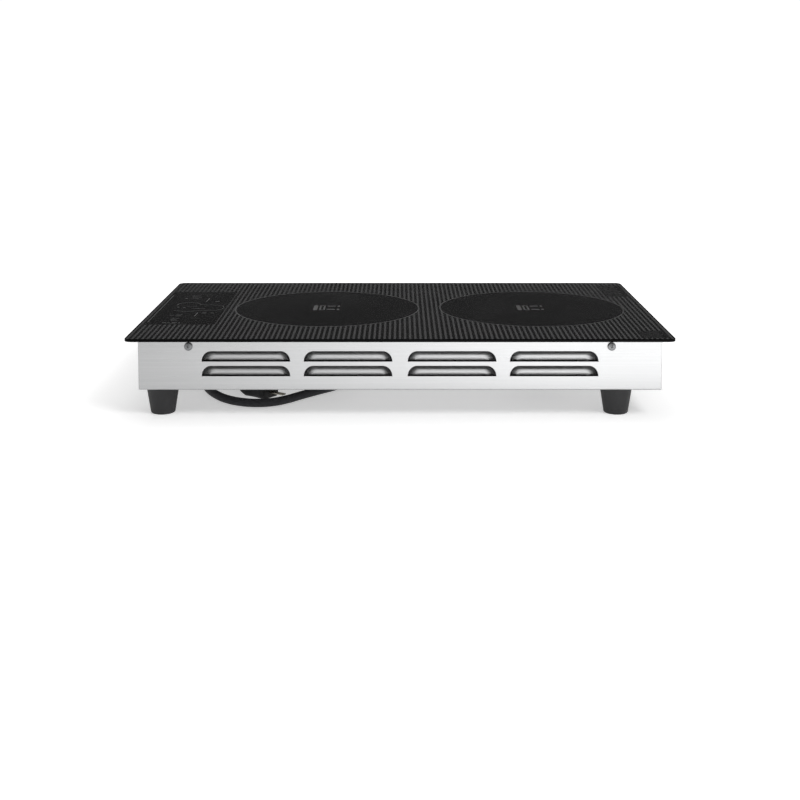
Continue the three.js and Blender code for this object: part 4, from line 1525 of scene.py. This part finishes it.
@dataclass
class Electronics:
    """The boards and the larger parts on them."""

    fin: float = 1.4 * MM
    fins: int = 11
    components: tuple = (
        (-46, -36, 9, 9, 12), (-30, -38, 6, 6, 16), (-12, -40, 14, 8, 9), (8, -40, 10, 10, 5), (30, -38, 8, 8, 14),
        (48, -38, 12, 9, 10), (-52, 40, 7, 12, 8), (52, 40, 9, 6, 7),
    )

    def _sink(self, node: str) -> bmesh.types.BMesh:
        """Makes a finned heat sink as large as its node."""
        low, high = (Vector(point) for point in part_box(node))
        size, centre = high - low, (low + high) / 2
        shape = bmesh.new()
        base = 4 * MM
        absorb(shape, block(size.x, size.y, base, 0.4 * MM), at(centre.x, centre.y, low.z))
        pitch = (size.x - self.fin) / (self.fins - 1)
        for number in range(self.fins):
            fin = block(self.fin, size.y, size.z - 0.5 * base, 0.3 * MM)
            offset = number * pitch - (size.x - self.fin) / 2
            absorb(shape, fin, at(centre.x + offset, centre.y, low.z + 0.5 * base))
        return shape

    def _packed(self, node: str, edge: float) -> bmesh.types.BMesh:
        """Makes a softened box as large as a node."""
        low, high = (Vector(point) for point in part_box(node))
        size, centre = high - low, (low + high) / 2
        shape = bmesh.new()
        absorb(shape, block(*size, edge, 3), at(centre.x, centre.y, low.z))
        return shape

    def _choke(self) -> bmesh.types.BMesh:
        """Makes the filter choke: wire wound round a ring core."""
        low, high = (Vector(point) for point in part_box("filter_choke"))
        centre, outer = (low + high) / 2, (high.x - low.x) / 2
        section, rise = (outer - 6 * MM) / 2, (high.z - low.z) / 2
        steps, rounds = 640, 32
        points = []
        for step in range(steps + 1):
            angle = 0.94 * FULL_TURN * step / steps
            winding = FULL_TURN * rounds * step / steps
            radius = outer - section + (section - 0.6 * MM) * math.cos(winding)
            points.append((radius * math.cos(angle), radius * math.sin(angle), (rise - 0.6 * MM) * math.sin(winding)))
        shape = bmesh.new()
        absorb(shape, wire(points, 0.55 * MM, 1), at(*centre))
        return shape

    def _terminals(self) -> bmesh.types.BMesh:
        """Makes the terminal block: three wells in a row with a step along the front."""
        low, high = (Vector(point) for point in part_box("terminal_block"))
        size, centre = high - low, (low + high) / 2
        body = block(size.x, size.y, size.z, 0.6 * MM)
        wells = bmesh.new()
        for column in (-1, 0, 1):
            well = turned([(0, 0), (2.6 * MM, 0), (2.6 * MM, 20 * MM), (0, 20 * MM)], 24)
            absorb(wells, well, at(column * size.x / 3.2, -2 * MM, size.z - 5 * MM))
            door = block(7 * MM, 6 * MM, 6 * MM)
            absorb(wells, door, at(column * size.x / 3.2, -size.y / 2, 2.5 * MM))
        shape = bmesh.new()
        absorb(shape, carved(body, wells), at(centre.x, centre.y, low.z))
        return shape

    def build(self, nodes: dict[str, bpy.types.Object]) -> None:
        """Makes the boards' parts and dresses what stays plain.

        Args:
            nodes: the frame's nodes.
        """
        for side in Side:
            name = side.value
            finished(f"finned_sink_{name}", self._sink(f"heat_sink_{name}"), ALUMINIUM, stands_for=[f"heat_sink_{name}"])
            finished(f"film_capacitor_{name}", self._packed(f"capacitor_{name}", 1.2 * MM), PALE_PLASTIC,
                     stands_for=[f"capacitor_{name}"])
            redress(f"power_board_{name}", BOARD, nodes)
            low, high = (Vector(point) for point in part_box(f"power_board_{name}"))
            centre, parts = (low + high) / 2, bmesh.new()
            for x, y, wide, deep, tall in self.components:
                part = block(wide * MM, deep * MM, tall * MM, 0.5 * MM)
                absorb(parts, part, at(centre.x + x * MM, centre.y + y * MM, high.z - 0.1 * MM))
            finished(f"board_parts_{name}", parts, PLASTIC)
        finished("wound_choke", self._choke(), COPPER, stands_for=["filter_choke"], smooth=60)
        finished("terminals", self._terminals(), PALE_PLASTIC, stands_for=["terminal_block"])
        for node in ("filter_board", "touch_board"):
            redress(node, BOARD, nodes)
        for node in ("touch_tray", "touch_light_guide"):
            redress(node, PALE_PLASTIC, nodes)
        for corner in ("front_left", "rear_left", "front_right", "rear_right"):
            redress(f"foot_screw_{corner}", PLATED, nodes)


# ---------------------------------------------------------------------------------------------
# The whole cooktop
# ---------------------------------------------------------------------------------------------


@dataclass
class Cooktop:
    """The induction cooktop with its cord and plug."""

    cord: MainsCord = field(default_factory=MainsCord)
    gland: Gland = field(default_factory=Gland)
    plug: Plug = field(default_factory=Plug)
    glass: GlassTop = field(default_factory=GlassTop)
    rim: RimParts = field(default_factory=RimParts)
    housing: Housing = field(default_factory=Housing)
    feet: Feet = field(default_factory=Feet)
    screws: CaseScrews = field(default_factory=CaseScrews)
    electronics: Electronics = field(default_factory=Electronics)

    def build(self, nodes: dict[str, bpy.types.Object]) -> None:
        """Makes every piece, the cord first.

        Args:
            nodes: the frame's nodes.
        """
        self.cord.build([self.gland.build(), *self.plug.build()])
        self.glass.build({side: middle(f"coil_winding_{side.value}").x for side in Side})
        self.housing.build()
        self.rim.build()
        self.feet.build()
        self.screws.build()
        for side in Side:
            HeatingZone(side).build()
            Fan(side).build()
        self.electronics.build(nodes)


def main() -> None:
    """Loads the frame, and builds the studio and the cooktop."""
    logging.basicConfig(level=logging.INFO, format="%(name)s: %(message)s")
    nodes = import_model()["nodes"]
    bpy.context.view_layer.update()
    Camera().build()
    Studio().build()
    Cooktop().build(nodes)


if __name__ == "__main__":
    main()
